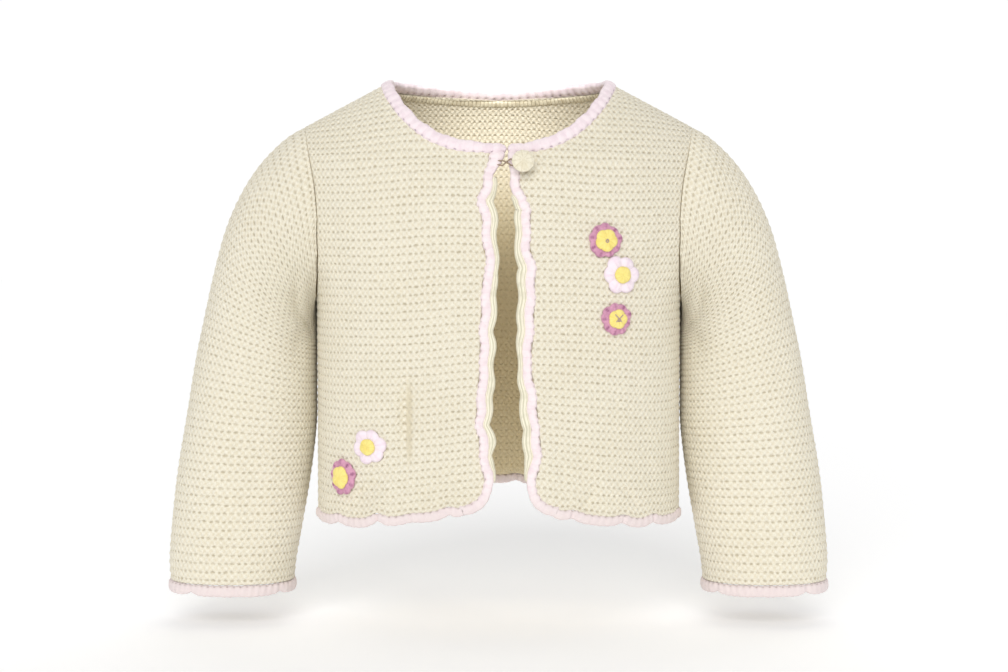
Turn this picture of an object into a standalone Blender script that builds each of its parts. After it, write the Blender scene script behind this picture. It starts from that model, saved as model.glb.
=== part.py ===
"""Baby cardigan in garter stitch, filled out as if worn.

It has crochet edging, one button with its loop, and five crochet flowers. Metres, +Z up, the front
faces -Y, and the wearer's right is -X. The origin is midway between the two points where the neck
meets the shoulders. Every knitted piece is a hollow wall with an open neck, hem and cuffs.
"""

import functools
import math
from collections import namedtuple

import bmesh
import bpy
import numpy as np
from mathutils import Vector

# Walls and seams
SEAM = 0.0003
WALL = 0.003
STEP = 0.0008

# The body, measured along the cloth from the lower edge of the knitting at the side seams
HEM_Z = -0.2355
UNDERARM = 0.1145
NECK_HALF_WIDTH = 0.0647
NECK_SIDE_Z = -0.0018
SHOULDER_SLOPE = 0.525
SHOULDER_TIP_X = 0.1085
FRONT, BACK = -1, 1
DOME_HEIGHT = {FRONT: 0.100, BACK: 0.095}
DOME_POWER = 2.2
NECK_REACH = {FRONT: 0.0520, BACK: 0.0395}
NECK_POWER = {FRONT: 2.65, BACK: 2.0}

# How much the hem rises from the side seam to the middle
HEM_RISE = {FRONT: 0.0085, BACK: 0.0100}
HEM_RISE_WIDTH = 0.088

# Cells of the grids that the walls are made from, and samples of the curves they follow
CURVE_SAMPLES = 240
NECK_SAMPLES = 60
SIDE_ROWS = 12
ARMHOLE_ROWS = 16
EDGE_ROWS = 20
ARMHOLE_LEVEL_SHARE = 0.5
NECK_ROWS = SIDE_ROWS + ARMHOLE_ROWS - EDGE_ROWS
PANEL_COLUMNS = 11
SLEEVE_ROWS = 14
EDGE_PARTS = 2
HEM_PARTS = 3
FIRST_HEIGHT = 0.2
PLACING_ROUNDS = 4

# Edgings
BAND_WIDTH = 0.0053
HEM_BAND_WIDTH = 0.0058
NECK_BAND_WIDTH = 0.0070
CUFF_BAND_WIDTH = 0.0066
NECK_BAND_START = 0.70
NECK_BAND_GROWTH = 0.06
NECK_OVERHANG = 0.0012
NECK_BAND_LEAN = 0.02
BAND_PROUD = 0.0013
STRIP_WALL = 0.0024
STRIP_SUNK = 0.0002
STRIP_END_SHARE = 0.35
STRIP_TAPER_POINTS = 6
CORNER_RADIUS = 0.0125
CORNER_STEPS = 3

# A band's section: share of its width, then shares of its inner and of its outer height
BAND_PROFILE = (
    (0.0, 0.0, 0.35),
    (0.45, 0.0, 1.0),
    (0.90, 0.0, 0.45),
    (1.0, 0.5, 0.5),
    (0.75, 1.0, 0.0),
    (0.0, 0.94, 0.0),
)

# Button and loop
BUTTON_X, BUTTON_Z = 0.0126, -0.0478
BUTTON_RADIUS = 0.0061
BUTTON_LIFT = 0.0038
BUTTON_THICK = 0.0042
BUTTON_STEPS = 16
SHANK_RADIUS = 0.0012
LOOP_RADIUS = 0.00042
LOOP_CLEARANCE = 0.00092
LOOP_LIFT = 0.0031
LOOP_HALF_HEIGHT = 0.0027
LOOP_REACH = 0.0142
LOOP_STEPS = 9

# The button's outline: shares of its radius and of its thickness, from the back to the front
BUTTON_PROFILE = ((0.80, 0.0), (1.0, 0.30), (0.92, 0.68), (0.55, 0.95), (0.20, 1.0))

# Cross-sections of the body, from the hem up
Section = namedtuple("Section", "height half_width front back power")
SECTIONS = (
    Section(0.000, 0.1010, 0.0600, 0.0600, 2.40),
    Section(0.055, 0.1008, 0.0608, 0.0600, 2.40),
    Section(0.110, 0.1010, 0.0598, 0.0588, 2.40),
    Section(0.165, 0.1110, 0.0572, 0.0590, 2.45),
    Section(0.225, 0.1215, 0.0552, 0.0600, 2.50),
)

# The armhole seam seen from the front: height above the underarm and distance from the middle
Armhole = namedtuple("Armhole", "height x")
ARMHOLE = (
    Armhole(0.000, 0.1010),
    Armhole(0.005, 0.0996),
    Armhole(0.013, 0.0985),
    Armhole(0.026, 0.0977),
    Armhole(0.045, 0.0977),
    Armhole(0.065, 0.0998),
    Armhole(0.083, 0.1035),
    Armhole(0.100, 0.1068),
)

# The front edges: inner side of the pink band, and how wide the cream strip outside it is
Edge = namedtuple("Edge", "z band_x strip")
RIGHT_EDGE = (
    Edge(-0.0445, -0.0052, 0.0012),
    Edge(-0.0570, -0.0080, 0.0024),
    Edge(-0.0665, -0.0110, 0.0040),
    Edge(-0.0791, -0.0086, 0.0034),
    Edge(-0.0901, -0.0083, 0.0026),
    Edge(-0.0990, -0.0062, 0.0022),
    Edge(-0.1111, -0.0086, 0.0030),
    Edge(-0.1206, -0.0088, 0.0034),
    Edge(-0.1353, -0.0099, 0.0030),
    Edge(-0.1426, -0.0098, 0.0036),
    Edge(-0.1542, -0.0099, 0.0028),
    Edge(-0.1636, -0.0107, 0.0040),
    Edge(-0.1752, -0.0115, 0.0036),
    Edge(-0.1841, -0.0123, 0.0032),
    Edge(-0.1925, -0.0104, 0.0040),
    Edge(-0.1999, -0.0099, 0.0022),
    Edge(-0.2072, -0.0091, 0.0030),
    Edge(-0.2135, -0.0074, 0.0022),
    Edge(-0.2209, -0.0075, 0.0014),
)
LEFT_EDGE = (
    Edge(-0.0455, 0.0102, 0.0010),
    Edge(-0.0570, 0.0110, 0.0016),
    Edge(-0.0665, 0.0144, 0.0026),
    Edge(-0.0718, 0.0170, 0.0036),
    Edge(-0.0901, 0.0166, 0.0034),
    Edge(-0.1033, 0.0195, 0.0050),
    Edge(-0.1138, 0.0191, 0.0042),
    Edge(-0.1353, 0.0184, 0.0042),
    Edge(-0.1510, 0.0170, 0.0024),
    Edge(-0.1731, 0.0200, 0.0042),
    Edge(-0.1804, 0.0206, 0.0044),
    Edge(-0.1878, 0.0216, 0.0042),
    Edge(-0.2004, 0.0226, 0.0046),
    Edge(-0.2072, 0.0214, 0.0042),
    Edge(-0.2140, 0.0197, 0.0028),
    Edge(-0.2209, 0.0194, 0.0018),
)

# Notches between the scallops of the hem: distance along it from the middle, depth and half width
Notch = namedtuple("Notch", "along depth half_width")
HEM_NOTCHES = {
    FRONT: (
        Notch(-0.1170, 0.0016, 0.0050),
        Notch(-0.0918, 0.0016, 0.0050),
        Notch(-0.0659, 0.0026, 0.0060),
        Notch(-0.0469, 0.0007, 0.0050),
        Notch(-0.0265, 0.0018, 0.0050),
        Notch(0.0395, 0.0016, 0.0050),
        Notch(0.0678, 0.0018, 0.0055),
        Notch(0.0874, 0.0018, 0.0050),
        Notch(0.1152, 0.0016, 0.0050),
    ),
    BACK: (
        Notch(-0.1090, 0.0018, 0.0055),
        Notch(-0.0850, 0.0014, 0.0050),
        Notch(-0.0600, 0.0020, 0.0055),
        Notch(-0.0370, 0.0015, 0.0050),
        Notch(-0.0130, 0.0019, 0.0055),
        Notch(0.0110, 0.0014, 0.0050),
        Notch(0.0350, 0.0020, 0.0055),
        Notch(0.0590, 0.0015, 0.0050),
        Notch(0.0860, 0.0019, 0.0055),
        Notch(0.1100, 0.0015, 0.0050),
    ),
}

# Soft dents in the filled-out cloth, in the front view: place, half sizes, depth and lean
Dent = namedtuple("Dent", "face x z half_width half_height depth lean")
DENTS = (
    Dent(FRONT, -0.0495, -0.1760, 0.0060, 0.0200, 0.0016, 0.10),
    Dent(FRONT, -0.0735, -0.2270, 0.0050, 0.0110, 0.0014, 0.55),
    Dent(FRONT, -0.0560, -0.2210, 0.0070, 0.0160, -0.0010, 0.30),
    Dent(FRONT, 0.0470, -0.2140, 0.0080, 0.0200, 0.0011, -0.25),
    Dent(FRONT, -0.0860, -0.0960, 0.0060, 0.0280, 0.0012, -0.20),
    Dent(FRONT, 0.0860, -0.0980, 0.0060, 0.0260, 0.0012, 0.20),
    Dent(BACK, -0.0450, -0.1900, 0.0090, 0.0320, 0.0014, 0.15),
    Dent(BACK, 0.0520, -0.1750, 0.0080, 0.0260, 0.0013, -0.12),
    Dent(BACK, 0.0050, -0.1350, 0.0110, 0.0300, 0.0010, 0.05),
)

# Rings of a sleeve from the armhole to the cuff: its outer and inner points and half its depth
Ring = namedtuple("Ring", "outer_x outer_z inner_x inner_z half_depth")
RINGS = (
    Ring(0.1085, -0.0240, 0.1016, -0.1210, 0.0310),
    Ring(0.1196, -0.0315, 0.1025, -0.1245, 0.0335),
    Ring(0.1324, -0.0448, 0.1035, -0.1275, 0.0350),
    Ring(0.1431, -0.0616, 0.1039, -0.1305, 0.0360),
    Ring(0.1515, -0.0812, 0.1041, -0.1345, 0.0365),
    Ring(0.1578, -0.1036, 0.1041, -0.1405, 0.0365),
    Ring(0.1632, -0.1271, 0.1041, -0.1500, 0.0360),
    Ring(0.1690, -0.1540, 0.1037, -0.1680, 0.0345),
    Ring(0.1740, -0.1831, 0.1032, -0.1904, 0.0325),
    Ring(0.1797, -0.2156, 0.1058, -0.2184, 0.0300),
    Ring(0.1832, -0.2450, 0.1105, -0.2463, 0.0272),
    Ring(0.1848, -0.2640, 0.1139, -0.2650, 0.0252),
    Ring(0.1843, -0.2760, 0.1152, -0.2765, 0.0245),
)
RING_POWER = 2.25
RING_CROWDING = 1.05
ARMHOLE_FADE = 4.0
SLEEVE_CLEARANCE = 0.00042

# Notches between the scallops of a cuff, as shares of the way round it
CUFF_NOTCHES = (0.16, 0.40, 0.60, 0.88)
CUFF_NOTCH_HALF_WIDTH = 0.028
CUFF_NOTCH_DEPTH = 0.0012

# Flowers: name, wearer's side, place in the front view, radius, petals, and radius of the centre
Flower = namedtuple("Flower", "name x z radius lobes depth centre turn colour")
FLOWERS = (
    Flower("flower_chest_top", 0.0560, -0.0878, 0.0088, 8, 0.05, 0.0056, 0.2, "mauve"),
    Flower("flower_chest_middle", 0.0646, -0.1058, 0.0099, 6, 0.14, 0.0043, 0.5, "pale_pink"),
    Flower("flower_chest_low", 0.0620, -0.1291, 0.0083, 8, 0.05, 0.0050, 0.0, "mauve"),
    Flower("flower_hem_inner", -0.0684, -0.1970, 0.0094, 6, 0.13, 0.0042, 0.3, "pale_pink"),
    Flower("flower_hem_outer", -0.0833, -0.2143, 0.0093, 8, 0.05, 0.0058, 0.1, "mauve"),
)
PETAL_THICK = 0.0020
PETAL_STEPS = 24
CENTRE_THICK = 0.0016
CENTRE_STEPS = 15
CENTRE_LOBES = 5
CENTRE_LOBE_DEPTH = 0.10
CENTRE_TURN = 0.6
LOBE_POWER = 0.8
LOBE_GROWTH = 1.2

# Shares of the outline and of the thickness, from the rim to the middle
PETAL_PROFILE = ((1.03, 0.35), (0.92, 1.0), (0.45, 1.0))
CENTRE_PROFILE = ((1.0, 0.5), (0.7, 1.0))
UNDERSIDE = (0.5, 1.0)

COLOURS = {
    "cream": (0.86, 0.81, 0.66),
    "blush": (0.93, 0.80, 0.83),
    "mauve": (0.62, 0.33, 0.46),
    "pale_pink": (0.94, 0.82, 0.87),
    "yellow": (0.94, 0.80, 0.30),
    "thread": (0.45, 0.36, 0.24),
}
YARN_ROUGHNESS = 0.92


def clear_scene():
    """Removes whatever the scene holds."""
    for item in list(bpy.data.objects):
        bpy.data.objects.remove(item, do_unlink=True)


def material(name):
    """The matt yarn material of one colour."""
    found = bpy.data.materials.get(name)
    if found:
        return found
    made = bpy.data.materials.new(name)
    made.use_nodes = True
    shader = made.node_tree.nodes["Principled BSDF"]
    shader.inputs["Base Color"].default_value = (*COLOURS[name], 1.0)
    shader.inputs["Roughness"].default_value = YARN_ROUGHNESS
    shader.inputs["Metallic"].default_value = 0.0
    return made


def eased(places, values, place):
    """Value at a place, with an even change between the rows of a table."""
    if place <= places[0]:
        return values[0]
    for low in range(len(places) - 1):
        if place <= places[low + 1]:
            share = (place - places[low]) / (places[low + 1] - places[low])
            share = share * share * (3 - 2 * share)
            return values[low] + share * (values[low + 1] - values[low])
    return values[-1]


def through(values, place):
    """Value of a smooth curve through evenly numbered values, at a place between them."""
    last = len(values) - 1
    low = min(int(place), last - 1)
    share = place - low
    one, two = values[low], values[low + 1]
    before = values[low - 1] if low > 0 else 2 * one - two
    after = values[low + 2] if low + 2 <= last else 2 * two - one
    bend = 2 * one - 2 * two + (two - before) / 2 + (after - one) / 2
    pull = -3 * one + 3 * two - (two - before) - (after - one) / 2
    return one + share * (two - before) / 2 + share**2 * pull + share**3 * bend


@functools.lru_cache(maxsize=None)
def quarter(across, up, power):
    """A rounded quarter from (0, up) to (across, 0), with the length to each of its points."""
    angle = np.linspace(0, math.pi / 2, CURVE_SAMPLES)
    a = across * np.sin(angle) ** (2 / power)
    b = up * np.cos(angle) ** (2 / power)
    run = np.concatenate([[0], np.cumsum(np.hypot(np.diff(a), np.diff(b)))])
    return a, b, run


def section(face, height):
    """Half width, reach and squareness of the body at a height along the cloth."""
    heights = [row.height for row in SECTIONS]
    reach = [row.front if face == FRONT else row.back for row in SECTIONS]
    return (
        eased(heights, [row.half_width for row in SECTIONS], height),
        eased(heights, reach, height),
        eased(heights, [row.power for row in SECTIONS], height),
    )


def shoulder_z(x):
    """Height of the ridge where front and back meet, carried on across the neck."""
    if abs(x) > NECK_HALF_WIDTH:
        return NECK_SIDE_Z - SHOULDER_SLOPE * (abs(x) - NECK_HALF_WIDTH)
    fall = SHOULDER_SLOPE / (2 * NECK_HALF_WIDTH)
    return NECK_SIDE_Z + fall * (NECK_HALF_WIDTH**2 - x * x)


def straight_height(face, x):
    """Length of cloth, above the hem, that hangs straight before it bends over to the shoulder."""
    return shoulder_z(x) - DOME_HEIGHT[face] - HEM_Z


def dent_depth(face, x, z):
    """How far the folds push the cloth in at one place."""
    total = 0.0
    for fold in DENTS:
        if fold.face == face:
            up = (z - fold.z) / fold.half_height
            side = (x - fold.x - fold.lean * (z - fold.z)) / fold.half_width
            total += fold.depth * math.exp(-(side * side) - up * up)
    return total


def body_point(face, along, height):
    """Point of the outer surface, along being the arc from the centre line."""
    half, reach, power = section(face, height)
    a, b, run = quarter(round(half, 6), round(reach, 6), round(power, 4))
    x = math.copysign(float(np.interp(abs(along), run, a)), along)
    y = float(np.interp(abs(along), run, b))
    straight = straight_height(face, x)
    z = HEM_Z + height
    if height > straight:
        a, b, run = quarter(DOME_HEIGHT[face], round(y, 5), DOME_POWER)
        z = HEM_Z + straight + float(np.interp(height - straight, run, a))
        y = float(np.interp(height - straight, run, b))
    return Vector((x, face * (y - dent_depth(face, x, z)), z))


def body_normal(face, along, height):
    """Direction out of the cloth at one place of the body."""
    across = body_point(face, along + STEP, height) - body_point(face, along - STEP, height)
    up = body_point(face, along, height + STEP) - body_point(face, along, height - STEP)
    return (across.cross(up) * -face).normalized()


def arc_to(face, x, height):
    """Arc from the centre line to a distance from the middle, at one height."""
    half, reach, power = section(face, height)
    a, _, run = quarter(round(half, 6), round(reach, 6), round(power, 4))
    return math.copysign(float(np.interp(abs(x), a, run)), x)


def base_reach(face, x, height):
    """How far the body would stand out at x if it did not bend over to the shoulder."""
    half, reach, power = section(face, height)
    a, b, _ = quarter(round(half, 6), round(reach, 6), round(power, 4))
    return float(np.interp(abs(x), a, b))


def cloth_from_plan(face, x, y):
    """Arc and height of the place that lies at x and y seen from above, near the shoulder."""
    height = FIRST_HEIGHT
    for _ in range(PLACING_ROUNDS):
        reach = base_reach(face, x, height)
        _, b, run = quarter(DOME_HEIGHT[face], round(reach, 5), DOME_POWER)
        bend = float(np.interp(-min(abs(y), reach), -b, run))
        height = straight_height(face, x) + bend
    return np.array((arc_to(face, x, height), height))


def cloth_from_front(face, x, z):
    """Arc and height of the place that lies at x and z seen from the front."""
    height = z - HEM_Z
    straight = straight_height(face, x)
    if height > straight:
        for _ in range(PLACING_ROUNDS):
            reach = base_reach(face, x, height)
            a, _, run = quarter(DOME_HEIGHT[face], round(reach, 5), DOME_POWER)
            height = straight + float(np.interp(z - HEM_Z - straight, a, run))
    return np.array((arc_to(face, x, height), height))


def hem_height(face, along):
    """Height of the lower edge of the knitting."""
    share = min(1.0, abs(along) / HEM_RISE_WIDTH)
    return HEM_RISE[face] * (1 + math.cos(math.pi * share)) / 2


def hem_band_width(face, x):
    """Width of the hem's band at a distance from the middle, with its scallops."""
    width = HEM_BAND_WIDTH
    along = arc_to(face, x, 0.0)
    for notch in HEM_NOTCHES[face]:
        width -= notch.depth * math.exp(-(((along - notch.along) / notch.half_width) ** 2))
    return width


def coons(bottom, top, left, right):
    """Fills between four edges of (arc, height) pairs."""
    columns, rows = len(bottom), len(left)
    grid = np.zeros((rows, columns, 2))
    for j in range(rows):
        g = j / (rows - 1)
        for i in range(columns):
            f = i / (columns - 1)
            ruled = (1 - g) * bottom[i] + g * top[i] + (1 - f) * left[j] + f * right[j]
            low = (1 - f) * bottom[0] + f * bottom[-1]
            high = (1 - f) * top[0] + f * top[-1]
            grid[j, i] = ruled - (1 - g) * low - g * high
    return grid


def spaced(points, steps, level_share=1.0):
    """Points set evenly along the line through (arc, height) pairs, its level runs counting less."""
    points = np.array(points)
    level, up = np.diff(points, axis=0).T
    run = np.concatenate([[0], np.cumsum(np.hypot(level * level_share, up))])
    places = np.linspace(0, run[-1], steps + 1)
    return [np.array([np.interp(p, run, points[:, k]) for k in (0, 1)]) for p in places]


def side_length(face, height):
    """Arc from the centre line to the side seam at one height."""
    half, reach, power = section(face, height)
    return quarter(round(half, 6), round(reach, 6), round(power, 4))[2][-1]


def side_edge(face, side):
    """The side seam and armhole edge of a panel, from the hem up to the shoulder tip."""
    points = []
    for j in range(SIDE_ROWS + 1):
        height = UNDERARM * j / SIDE_ROWS
        points.append(np.array((side * (side_length(face, height) - SEAM / 2), height)))
    curve = [points[-1]]
    for row in ARMHOLE[1:]:
        height = UNDERARM + row.height
        curve.append(np.array((side * arc_to(face, row.x, height), height)))
    tip = cloth_from_plan(face, SHOULDER_TIP_X, 0.0)
    curve.append(np.array((side * tip[0], tip[1] - SEAM / 2)))
    return points + spaced(curve, ARMHOLE_ROWS, ARMHOLE_LEVEL_SHARE)[1:]


def neck_edge(face, side, start_x):
    """Neck edge of the knitting from a distance from the middle out to the shoulder."""
    power = NECK_POWER[face]
    start = math.acos(abs(start_x / NECK_HALF_WIDTH) ** (power / 2))
    if side * start_x < 0:
        start = math.pi - start
    points = []
    for k in range(NECK_SAMPLES + 1):
        angle = start * (1 - k / NECK_SAMPLES)
        x = NECK_HALF_WIDTH * math.copysign(abs(math.cos(angle)) ** (2 / power), math.cos(angle))
        y = NECK_REACH[face] * abs(math.sin(angle)) ** (2 / power)
        along, height = cloth_from_plan(face, x, y)
        points.append((side * along, height))
    points[-1] = (points[-1][0], points[-1][1] - SEAM / 2)
    return spaced(points, NECK_ROWS)


def shoulder_edge(face, side):
    """Shoulder edge of a panel from the neck to the shoulder tip."""
    points = []
    for k in range(PANEL_COLUMNS + 1):
        x = NECK_HALF_WIDTH + (SHOULDER_TIP_X - NECK_HALF_WIDTH) * k / PANEL_COLUMNS
        along, height = cloth_from_plan(face, side * x, 0.0)
        points.append(np.array((along, height - SEAM / 2)))
    return points


def level_rows(low, high, rows_below):
    """Heights of the rows of a straight edge: even up to the underarm, then even to the neck."""
    rows_above = EDGE_ROWS - SIDE_ROWS
    below = [low + (UNDERARM - low) * k / rows_below for k in range(rows_below)]
    return below + [UNDERARM + (high - UNDERARM) * k / rows_above for k in range(rows_above)]


def front_grid(side, rows):
    """Arc and height of each grid point of one front."""
    neck = neck_edge(FRONT, side, rows[0].band_x)
    foot_x = rows[-1].band_x
    foot = hem_height(FRONT, foot_x) + CORNER_RADIUS
    corner = []
    for k in range(2 * CORNER_STEPS):
        turn = math.pi / 2 * k / (2 * CORNER_STEPS)
        x = foot_x + side * CORNER_RADIUS * (1 - math.sin(turn))
        corner.append(np.array((x, foot - CORNER_RADIUS * math.cos(turn))))
    left = corner[CORNER_STEPS:]
    for height in level_rows(foot, neck[0][1], SIDE_ROWS - CORNER_STEPS):
        z = body_point(FRONT, foot_x, height).z
        x = eased([-row.z for row in rows], [row.band_x for row in rows], -z)
        left.append(np.array((arc_to(FRONT, x, height), height)))
    left += neck
    right = side_edge(FRONT, side)
    bottom = corner[1 : CORNER_STEPS + 1][::-1]
    first = corner[0][0]
    spans = PANEL_COLUMNS - CORNER_STEPS
    for k in range(spans + 1):
        along = first + (right[0][0] - first) * k / spans
        bottom.append(np.array((along, hem_height(FRONT, along))))
    return coons(bottom, shoulder_edge(FRONT, side), left, right)


def back_half_grid(side):
    """Arc and height of each grid point of half the back, from the centre line to one side."""
    neck = neck_edge(BACK, side, 0.0)
    right = side_edge(BACK, side)
    heights = level_rows(hem_height(BACK, 0.0), neck[0][1], SIDE_ROWS)
    left = [np.array((0.0, height)) for height in heights] + neck
    bottom = []
    for k in range(PANEL_COLUMNS + 1):
        along = right[0][0] * k / PANEL_COLUMNS
        bottom.append(np.array((along, hem_height(BACK, along))))
    return coons(bottom, shoulder_edge(BACK, side), left, right)


def lay_on_body(face, grid, lift):
    """Points of the body's surface moved out by lift, and the directions out of the cloth."""
    rows = [[body_point(face, *place) for place in line] for line in grid]
    outs = [[body_normal(face, *place) for place in line] for line in grid]
    lifted = [[p + n * lift for p, n in zip(*pair)] for pair in zip(rows, outs)]
    return lifted, outs


def add_object(name, mesh, colour):
    """Links a mesh under a name, with its faces smooth and its colour set."""
    item = bpy.data.objects.new(name, mesh)
    bpy.context.scene.collection.objects.link(item)
    mesh.materials.append(material(colour))
    for polygon in mesh.polygons:
        polygon.use_smooth = True
    return item


def closed_mesh(name, rings, around, ends):
    """A solid through rings of points: around closes each ring, ends caps or joins the stack."""
    build = bmesh.new()
    verts = [[build.verts.new(point) for point in ring] for ring in rings]
    count = len(verts[0])
    steps = count if around else count - 1
    stack = len(verts) if ends == "joined" else len(verts) - 1
    for j in range(stack):
        low, high = verts[j], verts[(j + 1) % len(verts)]
        for i in range(steps):
            k = (i + 1) % count
            build.faces.new((low[i], low[k], high[k], high[i]))
    if ends == "capped":
        build.faces.new(verts[0][::-1])
        build.faces.new(verts[-1])
    bmesh.ops.recalc_face_normals(build, faces=build.faces)
    mesh = bpy.data.meshes.new(name)
    build.to_mesh(mesh)
    build.free()
    return mesh


def wall_mesh(name, patches):
    """A closed wall from patches, each a grid of outer points and one of inner points."""
    build = bmesh.new()
    corners = {}
    faces = []
    for outer, inner in patches:
        for j in range(len(outer) - 1):
            for i in range(len(outer[0]) - 1):
                cell = ((j, i), (j, i + 1), (j + 1, i + 1), (j + 1, i))
                keys = []
                for m, n in cell:
                    key = tuple(round(value, 6) for value in outer[m][n])
                    if key not in corners:
                        pair = (outer[m][n], inner[m][n])
                        corners[key] = [build.verts.new(point) for point in pair]
                    keys.append(key)
                faces.append(keys)
    sides = {}
    for keys in faces:
        build.faces.new([corners[key][0] for key in keys])
        build.faces.new([corners[key][1] for key in keys[::-1]])
        for pair in zip(keys, keys[1:] + keys[:1]):
            sides[frozenset(pair)] = None if frozenset(pair) in sides else pair
    for pair in sides.values():
        if pair:
            one, two = (corners[key] for key in pair)
            build.faces.new((two[0], one[0], one[1], two[1]))
    bmesh.ops.recalc_face_normals(build, faces=build.faces)
    mesh = bpy.data.meshes.new(name)
    build.to_mesh(mesh)
    build.free()
    return mesh


def panel(name, face, grids):
    """One knitted panel, and the outer points and directions of each of its grids."""
    patches, laid = [], []
    for grid in grids:
        outer, outs = lay_on_body(face, grid, 0.0)
        inner = [[p - n * WALL for p, n in zip(*pair)] for pair in zip(outer, outs)]
        patches.append((outer, inner))
        laid.append((outer, outs))
    add_object(name, wall_mesh(name, patches), "cream")
    return laid


def parted(points, parts):
    """The same line with each of its steps cut into equal parts."""
    line = [points[0]]
    for one, two in zip(points, points[1:]):
        line += [one.lerp(two, k / parts) for k in range(1, parts + 1)]
    return line


def edge_frames(points, outs, away):
    """Point, direction across the edge and direction out of the cloth, along an edge."""
    frames = []
    last = len(points) - 1
    for k, (point, out) in enumerate(zip(points, outs)):
        along = (points[min(k + 1, last)] - points[max(k - 1, 0)]).normalized()
        out = (out - along * out.dot(along)).normalized()
        across = along.cross(out)
        if across.dot(away[k]) < 0:
            across = -across
        frames.append((point, across, out))
    return frames


def square_end(frame):
    """The frame at a side seam, turned so that the band's end lies in the seam's own plane."""
    point, _, out = frame
    return point, Vector((0, 0, -1)), Vector((math.copysign(1.0, out.x), 0, 0))


def band_ring(frame, start, width, low, high):
    """The rounded section of a crochet band that starts a distance beyond an edge."""
    point, across, out = frame
    ring = []
    for share, of_low, of_high in BAND_PROFILE:
        lift = out * (low * of_low + high * of_high)
        ring.append(point + across * (start + width * share) + lift)
    return ring


def band(name, frames, widths, low, high, colour, around=False, start=SEAM):
    """A crochet band along an edge."""
    rings = [band_ring(f, start, w, low, high) for f, w in zip(frames, widths)]
    ends = "joined" if around else "capped"
    return add_object(name, closed_mesh(name, rings, True, ends), colour)


def column(grid, i, first, last):
    """Points of one column of a grid between two rows."""
    return [grid[j][i] for j in range(first, last + 1)]


def side_wall(laid):
    """The armhole edge of a panel from the underarm up, with its directions out of the cloth."""
    last = SIDE_ROWS + ARMHOLE_ROWS
    return [column(part, -1, SIDE_ROWS, last) for part in laid]


def front(name_side, side, rows):
    """One front with its pink band down the edge and along the hem, and its cream strip."""
    outer, outs = panel("front_" + name_side, FRONT, [front_grid(side, rows)])[0]
    edge = parted(column(outer, 0, 0, EDGE_ROWS)[::-1], EDGE_PARTS)
    edge_outs = parted(column(outs, 0, 0, EDGE_ROWS)[::-1], EDGE_PARTS)
    points = edge + parted(outer[0], HEM_PARTS)[1:]
    normals = [n.normalized() for n in edge_outs + parted(outs[0], HEM_PARTS)[1:]]
    middle = outer[EDGE_ROWS // 2][PANEL_COLUMNS // 2]
    frames = edge_frames(points, normals, [p - middle for p in points])
    frames[-1] = square_end(frames[-1])
    turn = len(edge) - 1
    widths = []
    for k, frame in enumerate(frames):
        share = min(1.0, max(0.0, (k - turn) / (HEM_PARTS * CORNER_STEPS)))
        hem = hem_band_width(FRONT, frame[0].x)
        widths.append(BAND_WIDTH + share * (hem - BAND_WIDTH))
    name = "front_edging_" + name_side
    band(name, frames, widths, -WALL, BAND_PROUD, "blush")
    strip_frames, strip_widths = [], []
    for k in range(turn + 1):
        point, across, out = frames[k]
        strip_frames.append((point + across * (widths[k] + SEAM), across, out))
        width = eased([-r.z for r in rows], [r.strip for r in rows], -point.z)
        taper = min(1.0, STRIP_END_SHARE + (turn - k) / STRIP_TAPER_POINTS)
        strip_widths.append(width * taper)
    name = "front_strip_" + name_side
    band(name, strip_frames, strip_widths, -STRIP_WALL, -STRIP_SUNK, "cream")
    last = SIDE_ROWS + ARMHOLE_ROWS
    neck = column(outer, 0, EDGE_ROWS, last), column(outs, 0, EDGE_ROWS, last)
    corner = frames[0][0] + frames[0][1] * (widths[0] + NECK_OVERHANG)
    return neck, side_wall((outer, outs)), corner


def back():
    """The back with the edging along its hem."""
    laid = panel("back", BACK, [back_half_grid(-1), back_half_grid(1)])
    (right, right_outs), (left, left_outs) = laid
    points = parted(right[0][::-1] + left[0][1:], HEM_PARTS)
    outs = parted(right_outs[0][::-1] + left_outs[0][1:], HEM_PARTS)
    normals = [n.normalized() for n in outs]
    frames = edge_frames(points, normals, [Vector((0, 0, -1))] * len(points))
    for end in (0, -1):
        frames[end] = square_end(frames[end])
    widths = [hem_band_width(BACK, frame[0].x) for frame in frames]
    band("hem_edging_back", frames, widths, -WALL, BAND_PROUD, "blush")
    last = SIDE_ROWS + ARMHOLE_ROWS
    neck = []
    for one, two in ((right, left), (right_outs, left_outs)):
        there = column(one, 0, EDGE_ROWS, last)[::-1]
        neck.append(there + column(two, 0, EDGE_ROWS, last)[1:])
    return neck, {side: side_wall(part) for side, part in zip((-1, 1), laid)}


def neck_edging(right, left, rear):
    """The pink edging round the neck, from one front edge round the back to the other."""
    lines = []
    for k in range(2):
        start, end = right[0][k], left[0][k]
        lines.append(start[:-1] + rear[k] + end[:-1][::-1])
    points = [right[2]] + lines[0] + [left[2]]
    outs = [lines[1][0]] + lines[1] + [lines[1][-1]]
    points = parted(points, EDGE_PARTS)
    normals = [n.normalized() for n in parted(outs, EDGE_PARTS)]
    centre = sum(points, Vector()) / len(points)
    away = [Vector((centre.x - p.x, centre.y - p.y, NECK_BAND_LEAN)) for p in points]
    frames = edge_frames(points, normals, away)
    widths = []
    for k in range(len(frames)):
        near = min(k, len(frames) - 1 - k)
        widths.append(NECK_BAND_WIDTH * min(1.0, NECK_BAND_START + NECK_BAND_GROWTH * near))
    band("neck_edging", frames, widths, -WALL, BAND_PROUD, "blush")


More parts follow.
